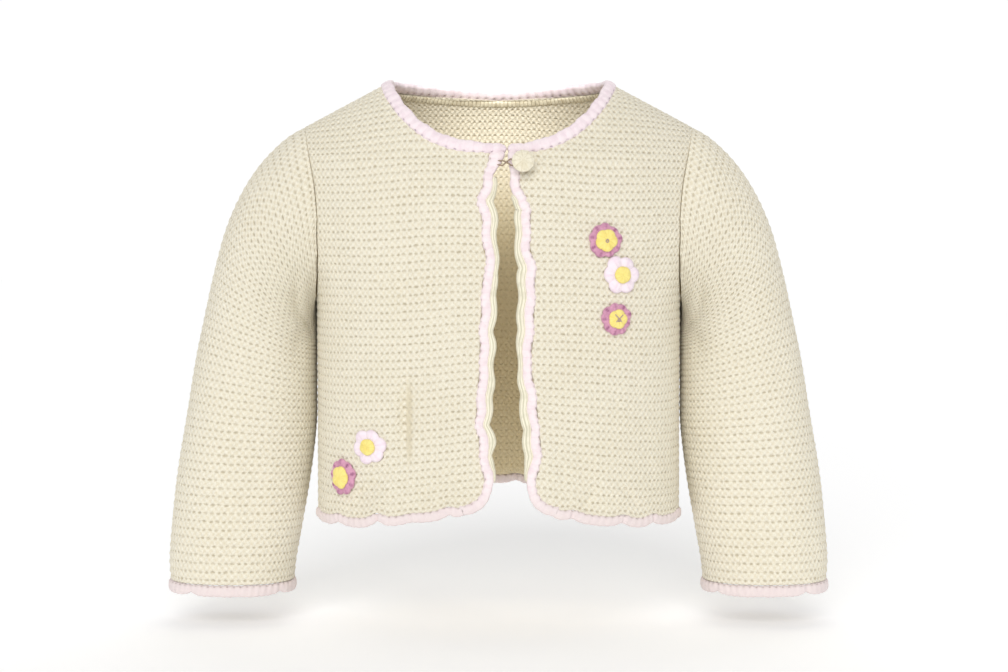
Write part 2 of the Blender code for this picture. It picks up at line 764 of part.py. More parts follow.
def ring_at(side, place, share):
    """Point of a sleeve at a place between the rings and a share of the way round them."""
    sizes = [through([row[k] for row in RINGS], place) for k in range(5)]
    outer = np.array((sizes[0], sizes[1]))
    inner = np.array((sizes[2], sizes[3]))
    angle = 2 * math.pi * share
    across, deep = math.cos(angle), math.sin(angle)
    across = math.copysign(abs(across) ** (2 / RING_POWER), across)
    deep = math.copysign(abs(deep) ** (2 / RING_POWER), deep)
    flat = (outer + inner) / 2 + (outer - inner) / 2 * across
    return Vector((side * flat[0], -sizes[4] * deep, flat[1]))


def armhole_ring(front_part, rear_part):
    """The armhole from the shoulder tip down the front, round the underarm and up the back."""
    front_wall, front_outs = front_part
    rear_wall, rear_outs = rear_part
    points = front_wall[::-1] + rear_wall[1:-1]
    outs = front_outs[::-1] + rear_outs[1:-1]
    points[0] = (front_wall[-1] + rear_wall[-1]) / 2
    points[len(front_wall) - 1] = (front_wall[0] + rear_wall[0]) / 2
    return points, outs


def sleeve(name_side, side, front_part, rear_part):
    """One sleeve from its armhole to the cuff, and the edging round the cuff."""
    loop, loop_outs = armhole_ring(front_part, rear_part)
    count = len(loop)
    centre = sum(loop, Vector()) / count
    start = []
    for k, (point, out) in enumerate(zip(loop, loop_outs)):
        along = (loop[(k + 1) % count] - loop[k - 1]).normalized()
        away = along.cross(out).normalized()
        if away.dot(point - Vector((0, 0, centre.z))) < 0:
            away = -away
        start.append(point + away * SLEEVE_CLEARANCE + out * SEAM)
    base = [ring_at(side, 0.0, k / count) for k in range(count)]
    last = len(RINGS) - 1
    rings = []
    for j in range(SLEEVE_ROWS + 1):
        place = last * (j / SLEEVE_ROWS) ** RING_CROWDING
        fade = max(0.0, 1 - place / ARMHOLE_FADE) ** 2
        ring = []
        for k in range(count):
            shift = (start[k] - base[k]) * fade
            ring.append(ring_at(side, place, k / count) + shift)
        rings.append(ring)
    outs = []
    for j, ring in enumerate(rings):
        line = []
        for k, point in enumerate(ring):
            round_it = ring[(k + 1) % count] - ring[k - 1]
            down = rings[min(j + 1, SLEEVE_ROWS)][k] - rings[max(j - 1, 0)][k]
            out = round_it.cross(down).normalized()
            middle = sum(ring, Vector()) / count
            line.append(out if out.dot(point - middle) > 0 else -out)
        outs.append(line)
    inner = [[p - n * WALL for p, n in zip(*pair)] for pair in zip(rings, outs)]
    name = "sleeve_" + name_side
    mesh = closed_mesh(name, rings + inner[::-1], True, "joined")
    add_object(name, mesh, "cream")
    frames, widths = [], []
    for k, (point, out) in enumerate(zip(rings[-1], outs[-1])):
        level = Vector((out.x, out.y, 0)).normalized()
        frames.append((point, Vector((0, 0, -1)), level))
        offsets = [(k / count - notch) / CUFF_NOTCH_HALF_WIDTH for notch in CUFF_NOTCHES]
        dip = max(math.exp(-offset * offset) for offset in offsets)
        widths.append(CUFF_BAND_WIDTH - CUFF_NOTCH_DEPTH * dip)
    name = "cuff_edging_" + name_side
    band(name, frames, widths, -WALL, BAND_PROUD, "blush", around=True)


def disc_on_front(name, place, outline, levels, low, colour):
    """A soft disc whose points are the front's own moved out, level by level."""
    x, z = place
    heart = cloth_from_front(FRONT, x, z)
    rings = []
    for share, height in [(share, low) for share in UNDERSIDE] + list(levels):
        ring = []
        for along, up in outline(share):
            spot = (heart[0] + along, heart[1] + up)
            ring.append(body_point(FRONT, *spot) + body_normal(FRONT, *spot) * height)
        rings.append(ring)
    build = bmesh.new()
    verts = [[build.verts.new(point) for point in ring] for ring in rings]
    count = len(verts[0])
    for one, two in zip(verts, verts[1:]):
        for i in range(count):
            k = (i + 1) % count
            build.faces.new((one[i], one[k], two[k], two[i]))
    out = body_normal(FRONT, *heart)
    middle = body_point(FRONT, *heart)
    for ring, height in ((verts[0], low), (verts[-1], levels[-1][1])):
        hub = build.verts.new(middle + out * height)
        for i in range(count):
            build.faces.new((ring[i], ring[(i + 1) % count], hub))
    bmesh.ops.recalc_face_normals(build, faces=build.faces)
    mesh = bpy.data.meshes.new(name)
    build.to_mesh(mesh)
    build.free()
    return add_object(name, mesh, colour)


def lobed(radius, lobes, depth, turn, steps):
    """Outline of a flower with round lobes, at a share of its size."""

    def outline(share):
        points = []
        for k in range(steps):
            angle = 2 * math.pi * k / steps
            dip = 1 - abs(math.sin((angle + turn) * lobes / 2)) ** LOBE_POWER
            reach = radius * share * (1 - depth * dip * min(1.0, share * LOBE_GROWTH))
            points.append((reach * math.cos(angle), reach * math.sin(angle)))
        return points

    return outline


def flower(row):
    """One crochet flower: its petals and its raised yellow centre."""
    petals = lobed(row.radius, row.lobes, row.depth, row.turn, PETAL_STEPS)
    levels = [(share, SEAM + PETAL_THICK * rise) for share, rise in PETAL_PROFILE]
    name = row.name + "_petals"
    disc_on_front(name, (row.x, row.z), petals, levels, SEAM, row.colour)
    turn = row.turn + CENTRE_TURN
    centre = lobed(row.centre, CENTRE_LOBES, CENTRE_LOBE_DEPTH, turn, CENTRE_STEPS)
    low = SEAM + PETAL_THICK + SEAM
    levels = [(share, low + CENTRE_THICK * rise) for share, rise in CENTRE_PROFILE]
    name = row.name + "_centre"
    disc_on_front(name, (row.x, row.z), centre, levels, low, "yellow")


def button():
    """The round button, domed on both sides, on a short shank of yarn."""
    place = cloth_from_front(FRONT, BUTTON_X, BUTTON_Z)
    foot, out = body_point(FRONT, *place), body_normal(FRONT, *place)
    turn = Vector((0, 0, 1)).rotation_difference(out)
    profile = [(SHANK_RADIUS, SEAM), (SHANK_RADIUS, BUTTON_LIFT)]
    for share, rise in BUTTON_PROFILE:
        profile.append((BUTTON_RADIUS * share, BUTTON_LIFT + BUTTON_THICK * rise))
    rings = []
    for radius, height in profile:
        ring = []
        for k in range(BUTTON_STEPS):
            angle = 2 * math.pi * k / BUTTON_STEPS
            spot = Vector((radius * math.cos(angle), radius * math.sin(angle), height))
            ring.append(foot + turn @ spot)
        rings.append(ring)
    add_object("button", closed_mesh("button", rings, True, "capped"), "cream")
    return foot, out


def button_loop(foot, out):
    """The thread loop: from the right front's edge, across the gap and round the shank."""
    across = (Vector((1, 0, 0)) - out * out.x).normalized()
    up = out.cross(across)
    up = up if up.z > 0 else -up
    far = SHANK_RADIUS + LOOP_CLEARANCE
    near = [(-LOOP_REACH, LOOP_HALF_HEIGHT), (-LOOP_REACH / 2, LOOP_HALF_HEIGHT)]
    points = list(near)
    for k in range(LOOP_STEPS):
        angle = math.pi / 2 - math.pi * k / (LOOP_STEPS - 1)
        points.append((far * math.cos(angle), LOOP_HALF_HEIGHT * math.sin(angle)))
    points += [(a, -b) for a, b in near[::-1]]
    curve = bpy.data.curves.new("button_loop", "CURVE")
    curve.dimensions = "3D"
    curve.bevel_depth = LOOP_RADIUS
    curve.bevel_resolution = 1
    curve.use_fill_caps = True
    spline = curve.splines.new("POLY")
    spline.points.add(len(points) - 1)
    for spot, (a, b) in zip(spline.points, points):
        place = foot + across * a + up * b + out * LOOP_LIFT
        spot.co = (*place, 1.0)
    item = bpy.data.objects.new("button_loop", curve)
    bpy.context.scene.collection.objects.link(item)
    curve.materials.append(material("thread"))


def build():
    """Makes every piece of the cardigan."""
    clear_scene()
    right = front("right", -1, RIGHT_EDGE)
    left = front("left", 1, LEFT_EDGE)
    rear_neck, rear_walls = back()
    neck_edging(right, left, rear_neck)
    sleeve("right", -1, right[1], rear_walls[-1])
    sleeve("left", 1, left[1], rear_walls[1])
    for row in FLOWERS:
        flower(row)
    button_loop(*button())


build()
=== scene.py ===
"""Finished look of a baby cardigan: garter-stitch knitting, crochet edging, flowers and a button.

Metres, +Z up. The front faces -Y and the wearer's right is -X. The knitted panels lie on the forms
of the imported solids, which are worked out again here from the same sizes.
"""

import functools
import logging
import math
from collections.abc import Callable, Iterable, Sequence
from dataclasses import dataclass, field
from enum import Enum
from typing import NamedTuple

import bpy
import numpy as np
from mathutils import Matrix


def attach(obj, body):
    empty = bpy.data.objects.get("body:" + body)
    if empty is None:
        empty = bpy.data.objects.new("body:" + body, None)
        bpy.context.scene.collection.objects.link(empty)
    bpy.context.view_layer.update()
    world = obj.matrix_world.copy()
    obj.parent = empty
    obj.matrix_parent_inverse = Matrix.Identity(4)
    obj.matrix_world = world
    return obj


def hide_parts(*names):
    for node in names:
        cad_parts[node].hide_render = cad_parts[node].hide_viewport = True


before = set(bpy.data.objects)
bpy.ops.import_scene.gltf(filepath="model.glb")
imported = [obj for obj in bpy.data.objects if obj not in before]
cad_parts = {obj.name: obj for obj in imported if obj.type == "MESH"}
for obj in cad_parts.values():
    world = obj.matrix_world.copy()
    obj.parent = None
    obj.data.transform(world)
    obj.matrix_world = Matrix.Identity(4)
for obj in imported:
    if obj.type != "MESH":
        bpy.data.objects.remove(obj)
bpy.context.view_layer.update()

Array = np.ndarray
Colour = tuple[float, float, float]
Place = tuple[float, float, float]
LOG = logging.getLogger("cardigan")


class Face(Enum):
    """The two faces of the body, valued by the sign of Y that they point to."""

    FRONT = -1
    BACK = 1


# Walls and seams: the knitting's own wall is a little thinner than the solids'
SEAM = 0.0003
WALL = 0.003
KNIT_WALL = WALL - 0.0004

# The body, measured along the cloth from the lower edge of the knitting at the side seams
HEM_Z = -0.2355
UNDERARM = 0.1145
NECK_HALF_WIDTH = 0.0647
NECK_SIDE_Z = -0.0018
SHOULDER_SLOPE = 0.525
SHOULDER_TIP_X = 0.1085
DOME_HEIGHT = {Face.FRONT: 0.100, Face.BACK: 0.095}
DOME_POWER = 2.2
NECK_REACH = {Face.FRONT: 0.0520, Face.BACK: 0.0395}
NECK_POWER = {Face.FRONT: 2.65, Face.BACK: 2.0}
HEM_RISE = {Face.FRONT: 0.0085, Face.BACK: 0.0100}
HEM_RISE_WIDTH = 0.088
CORNER_RADIUS = 0.0125

# Samples of the curves and of the tables that the forms are read from
CURVE_SAMPLES = 240
HEIGHT_STEP = 0.002
HEIGHT_SPARE = 0.1
REACH_STEP = 0.0005
MOST_REACH = 0.07
NORMAL_STEP = 0.0008
FIRST_HEIGHT = 0.2
PLACING_ROUNDS = 4

# The knitting: one stitch across, one ridge up, and the cells that shape them
STITCH = 0.00322
RIDGE = 0.0043
STITCH_CELLS = 4
RIDGE_CELLS = 6
BACK_RIDGE_CELLS = 5
RELIEF = 0.0010
RELIEF_TOP = 0.0003
NOISE_SIZE = 128

# Heights over which the rows of a panel stop following its hem, and the power of that
ROW_FADE_HEIGHT = 0.16
SCALLOP_FADE_HEIGHT = 0.016
FADE_POWER = 1.5
LEVEL_ROUNDS = 5

# How far from hem and shoulders, from the neck's foot and from seams the knitting is calmer,
# and how far the calm edge of a panel and of a sleeve's head lies in
ROW_CALM = 0.02
NECK_CALM = 0.008
SEAM_CALM = 0.0018
HEAD_CALM_ROWS = 0.45
EDGE_SINK = 0.0003
HEAD_SINK = 0.0004

# Added to the stitch places of the inner side of a wall, where the knit finish paints a warmer
# shade that deepens lower down
INSIDE = (0.0, 1000.0)

# Down, and what turns a left-hand form into a right-hand one
DOWN = (0.0, 0.0, -1.0)
MIRRORED = (-1, 1, 1)


@dataclass(frozen=True)
class Section:
    """A cross-section of the body at a height along the cloth."""

    height: float
    half_width: float
    front: float
    back: float
    power: float


SECTIONS = (
    Section(0.000, 0.1010, 0.0600, 0.0600, 2.40),
    Section(0.055, 0.1008, 0.0608, 0.0600, 2.40),
    Section(0.110, 0.1010, 0.0598, 0.0588, 2.40),
    Section(0.165, 0.1110, 0.0572, 0.0590, 2.45),
    Section(0.225, 0.1215, 0.0552, 0.0600, 2.50),
)

# The armhole seam seen from the front: height above the underarm, distance from the middle
ARMHOLE = (
    (0.000, 0.1010),
    (0.005, 0.0996),
    (0.013, 0.0985),
    (0.026, 0.0977),
    (0.045, 0.0977),
    (0.065, 0.0998),
    (0.083, 0.1035),
    (0.100, 0.1068),
)
ARMHOLE_LEVEL_SHARE = 0.5


@dataclass(frozen=True)
class Edge:
    """A place on a front edge: inner side of the pink band and width of the strip outside it."""

    z: float
    band_x: float
    strip: float


FRONT_EDGES = {
    -1: (
        Edge(-0.0445, -0.0052, 0.0012),
        Edge(-0.0570, -0.0080, 0.0024),
        Edge(-0.0665, -0.0110, 0.0040),
        Edge(-0.0791, -0.0086, 0.0034),
        Edge(-0.0901, -0.0083, 0.0026),
        Edge(-0.0990, -0.0062, 0.0022),
        Edge(-0.1111, -0.0086, 0.0030),
        Edge(-0.1206, -0.0088, 0.0034),
        Edge(-0.1353, -0.0099, 0.0030),
        Edge(-0.1426, -0.0098, 0.0036),
        Edge(-0.1542, -0.0099, 0.0028),
        Edge(-0.1636, -0.0107, 0.0040),
        Edge(-0.1752, -0.0115, 0.0036),
        Edge(-0.1841, -0.0123, 0.0032),
        Edge(-0.1925, -0.0104, 0.0040),
        Edge(-0.1999, -0.0099, 0.0022),
        Edge(-0.2072, -0.0091, 0.0030),
        Edge(-0.2135, -0.0074, 0.0022),
        Edge(-0.2209, -0.0075, 0.0014),
    ),
    1: (
        Edge(-0.0455, 0.0102, 0.0010),
        Edge(-0.0570, 0.0110, 0.0016),
        Edge(-0.0665, 0.0144, 0.0026),
        Edge(-0.0718, 0.0170, 0.0036),
        Edge(-0.0901, 0.0166, 0.0034),
        Edge(-0.1033, 0.0195, 0.0050),
        Edge(-0.1138, 0.0191, 0.0042),
        Edge(-0.1353, 0.0184, 0.0042),
        Edge(-0.1510, 0.0170, 0.0024),
        Edge(-0.1731, 0.0200, 0.0042),
        Edge(-0.1804, 0.0206, 0.0044),
        Edge(-0.1878, 0.0216, 0.0042),
        Edge(-0.2004, 0.0226, 0.0046),
        Edge(-0.2072, 0.0214, 0.0042),
        Edge(-0.2140, 0.0197, 0.0028),
        Edge(-0.2209, 0.0194, 0.0018),
    ),
}


@dataclass(frozen=True)
class Fold:
    """A soft trough in the cloth of one face, or a ridge where its depth is negative."""

    face: Face
    x: float
    z: float
    half_width: float
    half_height: float
    depth: float
    lean: float


# The folds that the solids have
MAIN_FOLDS = (
    Fold(Face.FRONT, -0.0495, -0.1760, 0.0060, 0.0200, 0.0016, 0.10),
    Fold(Face.FRONT, -0.0735, -0.2270, 0.0050, 0.0110, 0.0014, 0.55),
    Fold(Face.FRONT, -0.0560, -0.2210, 0.0070, 0.0160, -0.0010, 0.30),
    Fold(Face.FRONT, 0.0470, -0.2140, 0.0080, 0.0200, 0.0011, -0.25),
    Fold(Face.FRONT, -0.0860, -0.0960, 0.0060, 0.0280, 0.0012, -0.20),
    Fold(Face.FRONT, 0.0860, -0.0980, 0.0060, 0.0260, 0.0012, 0.20),
    Fold(Face.BACK, -0.0450, -0.1900, 0.0090, 0.0320, 0.0014, 0.15),
    Fold(Face.BACK, 0.0520, -0.1750, 0.0080, 0.0260, 0.0013, -0.12),
    Fold(Face.BACK, 0.0050, -0.1350, 0.0110, 0.0300, 0.0010, 0.05),
)

# Finer creases, each a few centimetres long
CREASES = (
    Fold(Face.FRONT, -0.0492, -0.1815, 0.0020, 0.0190, 0.0013, 0.03),
    Fold(Face.FRONT, -0.0492, -0.1815, 0.0038, 0.0210, 0.0015, 0.03),
    Fold(Face.FRONT, -0.0445, -0.1790, 0.0030, 0.0170, -0.0008, 0.04),
    Fold(Face.FRONT, -0.0728, -0.2205, 0.0028, 0.0060, 0.0016, 1.40),
    Fold(Face.FRONT, -0.0728, -0.2205, 0.0064, 0.0075, 0.0014, 1.40),
    Fold(Face.FRONT, -0.0760, -0.2270, 0.0030, 0.0040, 0.0014, 1.00),
    Fold(Face.FRONT, -0.0670, -0.2190, 0.0050, 0.0060, -0.0009, 1.40),
    Fold(Face.FRONT, -0.0650, -0.2265, 0.0030, 0.0060, -0.0007, 0.80),
    Fold(Face.FRONT, -0.0230, -0.2130, 0.0030, 0.0090, 0.0009, -0.90),
    Fold(Face.FRONT, 0.0480, -0.2245, 0.0028, 0.0070, 0.0012, 0.55),
    Fold(Face.FRONT, 0.0700, -0.2235, 0.0026, 0.0080, 0.0011, -0.70),
    Fold(Face.FRONT, 0.0340, -0.2100, 0.0034, 0.0130, 0.0009, -0.20),
    Fold(Face.FRONT, 0.0790, -0.1980, 0.0036, 0.0190, 0.0008, -0.15),
    Fold(Face.FRONT, -0.0300, -0.1120, 0.0060, 0.0170, 0.0004, 0.25),
    Fold(Face.FRONT, 0.0420, -0.0700, 0.0060, 0.0120, 0.0005, -0.80),
    Fold(Face.FRONT, -0.0430, -0.0640, 0.0055, 0.0110, 0.0005, 0.90),
    Fold(Face.BACK, -0.0420, -0.2000, 0.0040, 0.0180, 0.0009, 0.20),
    Fold(Face.BACK, 0.0560, -0.1820, 0.0040, 0.0160, 0.0008, -0.22),
    Fold(Face.BACK, 0.0730, -0.2180, 0.0035, 0.0110, 0.0009, -0.50),
    Fold(Face.BACK, -0.0740, -0.1180, 0.0060, 0.0220, 0.0009, -0.35),
    Fold(Face.BACK, 0.0700, -0.1080, 0.0060, 0.0240, 0.0009, 0.35),
    Fold(Face.BACK, 0.0120, -0.1500, 0.0050, 0.0220, 0.0006, 0.10),
)

# The shade in the long upright crease: its x, where it begins and is full beside it, at its
# foot and at its top, and how much of the deep colour it takes
CREASE_X = -0.0470
CREASE_SIDES = (0.0026, 0.0006)
CREASE_FOOT = (-0.210, -0.196)
CREASE_TOP = (-0.156, -0.172)
CREASE_SHARE = 0.75


class Ring(NamedTuple):
    """A ring of a sleeve: its outermost and innermost points and half its depth."""

    outer_x: float
    outer_z: float
    inner_x: float
    inner_z: float
    half_depth: float


# From the armhole to the cuff, against the body down to the ninth ring
RINGS = (
    Ring(0.1085, -0.0240, 0.1016, -0.1210, 0.0310),
    Ring(0.1196, -0.0315, 0.1018, -0.1245, 0.0335),
    Ring(0.1324, -0.0448, 0.1018, -0.1275, 0.0350),
    Ring(0.1431, -0.0616, 0.1018, -0.1305, 0.0360),
    Ring(0.1515, -0.0812, 0.1018, -0.1345, 0.0365),
    Ring(0.1578, -0.1036, 0.1018, -0.1405, 0.0365),
    Ring(0.1632, -0.1271, 0.1018, -0.1500, 0.0360),
    Ring(0.1690, -0.1540, 0.1019, -0.1680, 0.0345),
    Ring(0.1740, -0.1831, 0.1023, -0.1904, 0.0325),
    Ring(0.1797, -0.2156, 0.1057, -0.2184, 0.0300),
    Ring(0.1832, -0.2450, 0.1105, -0.2463, 0.0272),
    Ring(0.1848, -0.2640, 0.1139, -0.2650, 0.0252),
    Ring(0.1843, -0.2760, 0.1152, -0.2765, 0.0245),
)
RING_POWER = 2.25
MIDDLE_RING = 6.0
ARMHOLE_FADE = 4.0
SLEEVE_STITCHES = 66
SLEEVE_RIDGE = 0.00474
SLEEVE_NOISE_ROW = 40


@dataclass(frozen=True)
class SleeveFold:
    """A soft trough of a sleeve: place between its rings and share of the way round it."""

    place: float
    share: float
    half_place: float
    half_share: float
    depth: float
    lean: float


SLEEVE_FOLDS = (
    SleeveFold(3.2, 0.36, 1.0, 0.026, 0.0017, 0.020),
    SleeveFold(4.4, 0.43, 0.5, 0.022, 0.0012, 0.030),
    SleeveFold(5.6, 0.39, 0.7, 0.032, 0.0014, -0.015),
    SleeveFold(6.8, 0.17, 0.6, 0.038, 0.0008, 0.030),
    SleeveFold(9.2, 0.29, 0.9, 0.026, 0.0010, 0.010),
    SleeveFold(10.6, 0.14, 0.5, 0.030, 0.0008, -0.020),
    SleeveFold(2.6, 0.66, 1.0, 0.028, 0.0017, -0.020),
    SleeveFold(4.6, 0.58, 0.6, 0.024, 0.0012, -0.015),
    SleeveFold(5.6, 0.62, 0.8, 0.034, 0.0014, 0.015),
    SleeveFold(7.6, 0.80, 0.9, 0.036, 0.0010, -0.020),
    SleeveFold(9.8, 0.70, 0.8, 0.028, 0.0010, 0.010),
    SleeveFold(6.4, 0.96, 1.2, 0.040, 0.0006, 0.010),
)


@dataclass(frozen=True)
class Notch:
    """A notch between two scallops of the hem: its arc, depth and half the width it narrows."""

    place: float
    depth: float
    half_width: float


HEM_NOTCHES = {
    Face.FRONT: (
        Notch(-0.1170, 0.0016, 0.0050),
        Notch(-0.0918, 0.0016, 0.0050),
        Notch(-0.0659, 0.0026, 0.0060),
        Notch(-0.0469, 0.0007, 0.0050),
        Notch(-0.0265, 0.0018, 0.0050),
        Notch(0.0395, 0.0016, 0.0050),
        Notch(0.0678, 0.0018, 0.0055),
        Notch(0.0874, 0.0018, 0.0050),
        Notch(0.1152, 0.0016, 0.0050),
    ),
    Face.BACK: (
        Notch(-0.1090, 0.0018, 0.0055),
        Notch(-0.0850, 0.0014, 0.0050),
        Notch(-0.0600, 0.0020, 0.0055),
        Notch(-0.0370, 0.0015, 0.0050),
        Notch(-0.0130, 0.0019, 0.0055),
        Notch(0.0110, 0.0014, 0.0050),
        Notch(0.0350, 0.0020, 0.0055),
        Notch(0.0590, 0.0015, 0.0050),
        Notch(0.0860, 0.0019, 0.0055),
        Notch(0.1100, 0.0015, 0.0050),
    ),
}
NOTCH_REACH = 0.0046
SCALLOP_SAG = 0.0006

# The crochet bands
BAND_WIDTH = 0.0053
HEM_BAND_WIDTH = 0.0057
NECK_BAND_WIDTH = 0.0070
CUFF_BAND_WIDTH = 0.0066
CUFF_NOTCHES = (0.16, 0.40, 0.60, 0.88)
BAND_POWER = 0.75

# A pinch between two scallops: the depth of notch that makes it full, half its width, and how
# much it narrows and flattens the band
FULL_PINCH = 0.0018
PINCH_REACH = 0.0014
PINCH_NARROWS = 0.0006
PINCH_FLATTENS = 0.0009

# How far the bands lie over the edge of the knitting, and how far a pinch draws them off it
BAND_LAP = 0.0004
PINCH_DRAWS = 0.0007

# How far the neck band's ends and the front bands' tops reach past the front edges
NECK_TIPS = {-1: 0.0042, 1: 0.0002}
TOP_SLANT = {-1: 0.0042, 1: 0.0}
TOP_SLANT_REACH = 0.0068
TOP_RISE = 0.0022

# The cream strips: how far below the tops of the front bands they begin, how far they lie over
# the bands, how much wider they are than in the table, and how they narrow at the foot
STRIP_STARTS = {-1: 0.0130, 1: 0.0210}
STRIP_LAP = 0.0009
STRIP_SPREAD = 0.0004
STRIP_NARROWEST = 0.0012
STRIP_FOOT_SHARE = 0.35
STRIP_FOOT_HEIGHT = 0.02


def smooth(share: Array) -> Array:
    """Eases shares between 0 and 1."""
    share = np.clip(share, 0.0, 1.0)
    return share * share * (3 - 2 * share)


def eased(places: Sequence[float], values: Sequence[float], at: Array) -> Array:
    """Reads a table with an even change between its rows.

    Args:
        places: where the rows are, ascending.
        values: the value of each row.
        at: places to read.

    Returns:
        The values there.
    """
    places, values, at = np.asarray(places), np.asarray(values), np.asarray(at, dtype=float)
    low = np.clip(np.searchsorted(places, at) - 1, 0, len(places) - 2)
    share = smooth((at - places[low]) / (places[low + 1] - places[low]))
    return values[low] + share * (values[low + 1] - values[low])


def through(values: Sequence[float], at: Array) -> Array:
    """Reads a smooth curve through evenly numbered values.

    Args:
        values: the values at 0, 1, 2 and so on.
        at: places to read.

    Returns:
        The values there.
    """
    table, at = np.asarray(values, dtype=float), np.asarray(at, dtype=float)
    table = np.concatenate([[2 * table[0] - table[1]], table, [2 * table[-1] - table[-2]]])
    low = np.clip(at.astype(int), 0, len(values) - 2)
    share = at - low
    before, one, two, after = (table[low + k] for k in range(4))
    bend = 2 * one - 2 * two + (two - before) / 2 + (after - one) / 2
    pull = -3 * one + 3 * two - (two - before) - (after - one) / 2
    return one + share * (two - before) / 2 + share**2 * pull + share**3 * bend


def between(table: Array, row: Array, column: Array) -> Array:
    """Reads a table at places between its rows and columns."""
    r = np.clip(row.astype(int), 0, table.shape[0] - 2)
    c = np.clip(column.astype(int), 0, table.shape[1] - 2)
    f, g = row - r, column - c
    low = table[r, c] * (1 - g) + table[r, c + 1] * g
    high = table[r + 1, c] * (1 - g) + table[r + 1, c + 1] * g
    return low * (1 - f) + high * f


@functools.lru_cache(maxsize=None)
def quarter(across: float, up: float, power: float) -> tuple[Array, Array, Array]:
    """A rounded quarter from (0, up) to (across, 0), with the length to each of its points."""
    angle = np.linspace(0, math.pi / 2, CURVE_SAMPLES)
    a = across * np.sin(angle) ** (2 / power)
    b = up * np.cos(angle) ** (2 / power)
    run = np.concatenate([[0], np.cumsum(np.hypot(np.diff(a), np.diff(b)))])
    return a, b, run


def quarter_table(sizes: Iterable[tuple[float, float, float]]) -> tuple[Array, Array, Array]:
    """Tables of rounded quarters by the share of their length.

    Args:
        sizes: across, up and power of each quarter.

    Returns:
        How far across and how far up each is at even shares of its length, and the lengths.
    """
    shares = np.linspace(0, 1, CURVE_SAMPLES)
    across, up, length = [], [], []
    for size in sizes:
        a, b, run = quarter(*size)
        across.append(np.interp(shares * run[-1], run, a))
        up.append(np.interp(shares * run[-1], run, b))
        length.append(run[-1])
    return np.array(across), np.array(up), np.array(length)


def shoulder_z(x: Array) -> Array:
    """Height of the ridge where front and back meet, carried on across the neck."""
    x = np.abs(x)
    fall = SHOULDER_SLOPE / (2 * NECK_HALF_WIDTH)
    inner = NECK_SIDE_Z + fall * (NECK_HALF_WIDTH**2 - x * x)
    outer = NECK_SIDE_Z - SHOULDER_SLOPE * (x - NECK_HALF_WIDTH)
    return np.where(x > NECK_HALF_WIDTH, outer, inner)


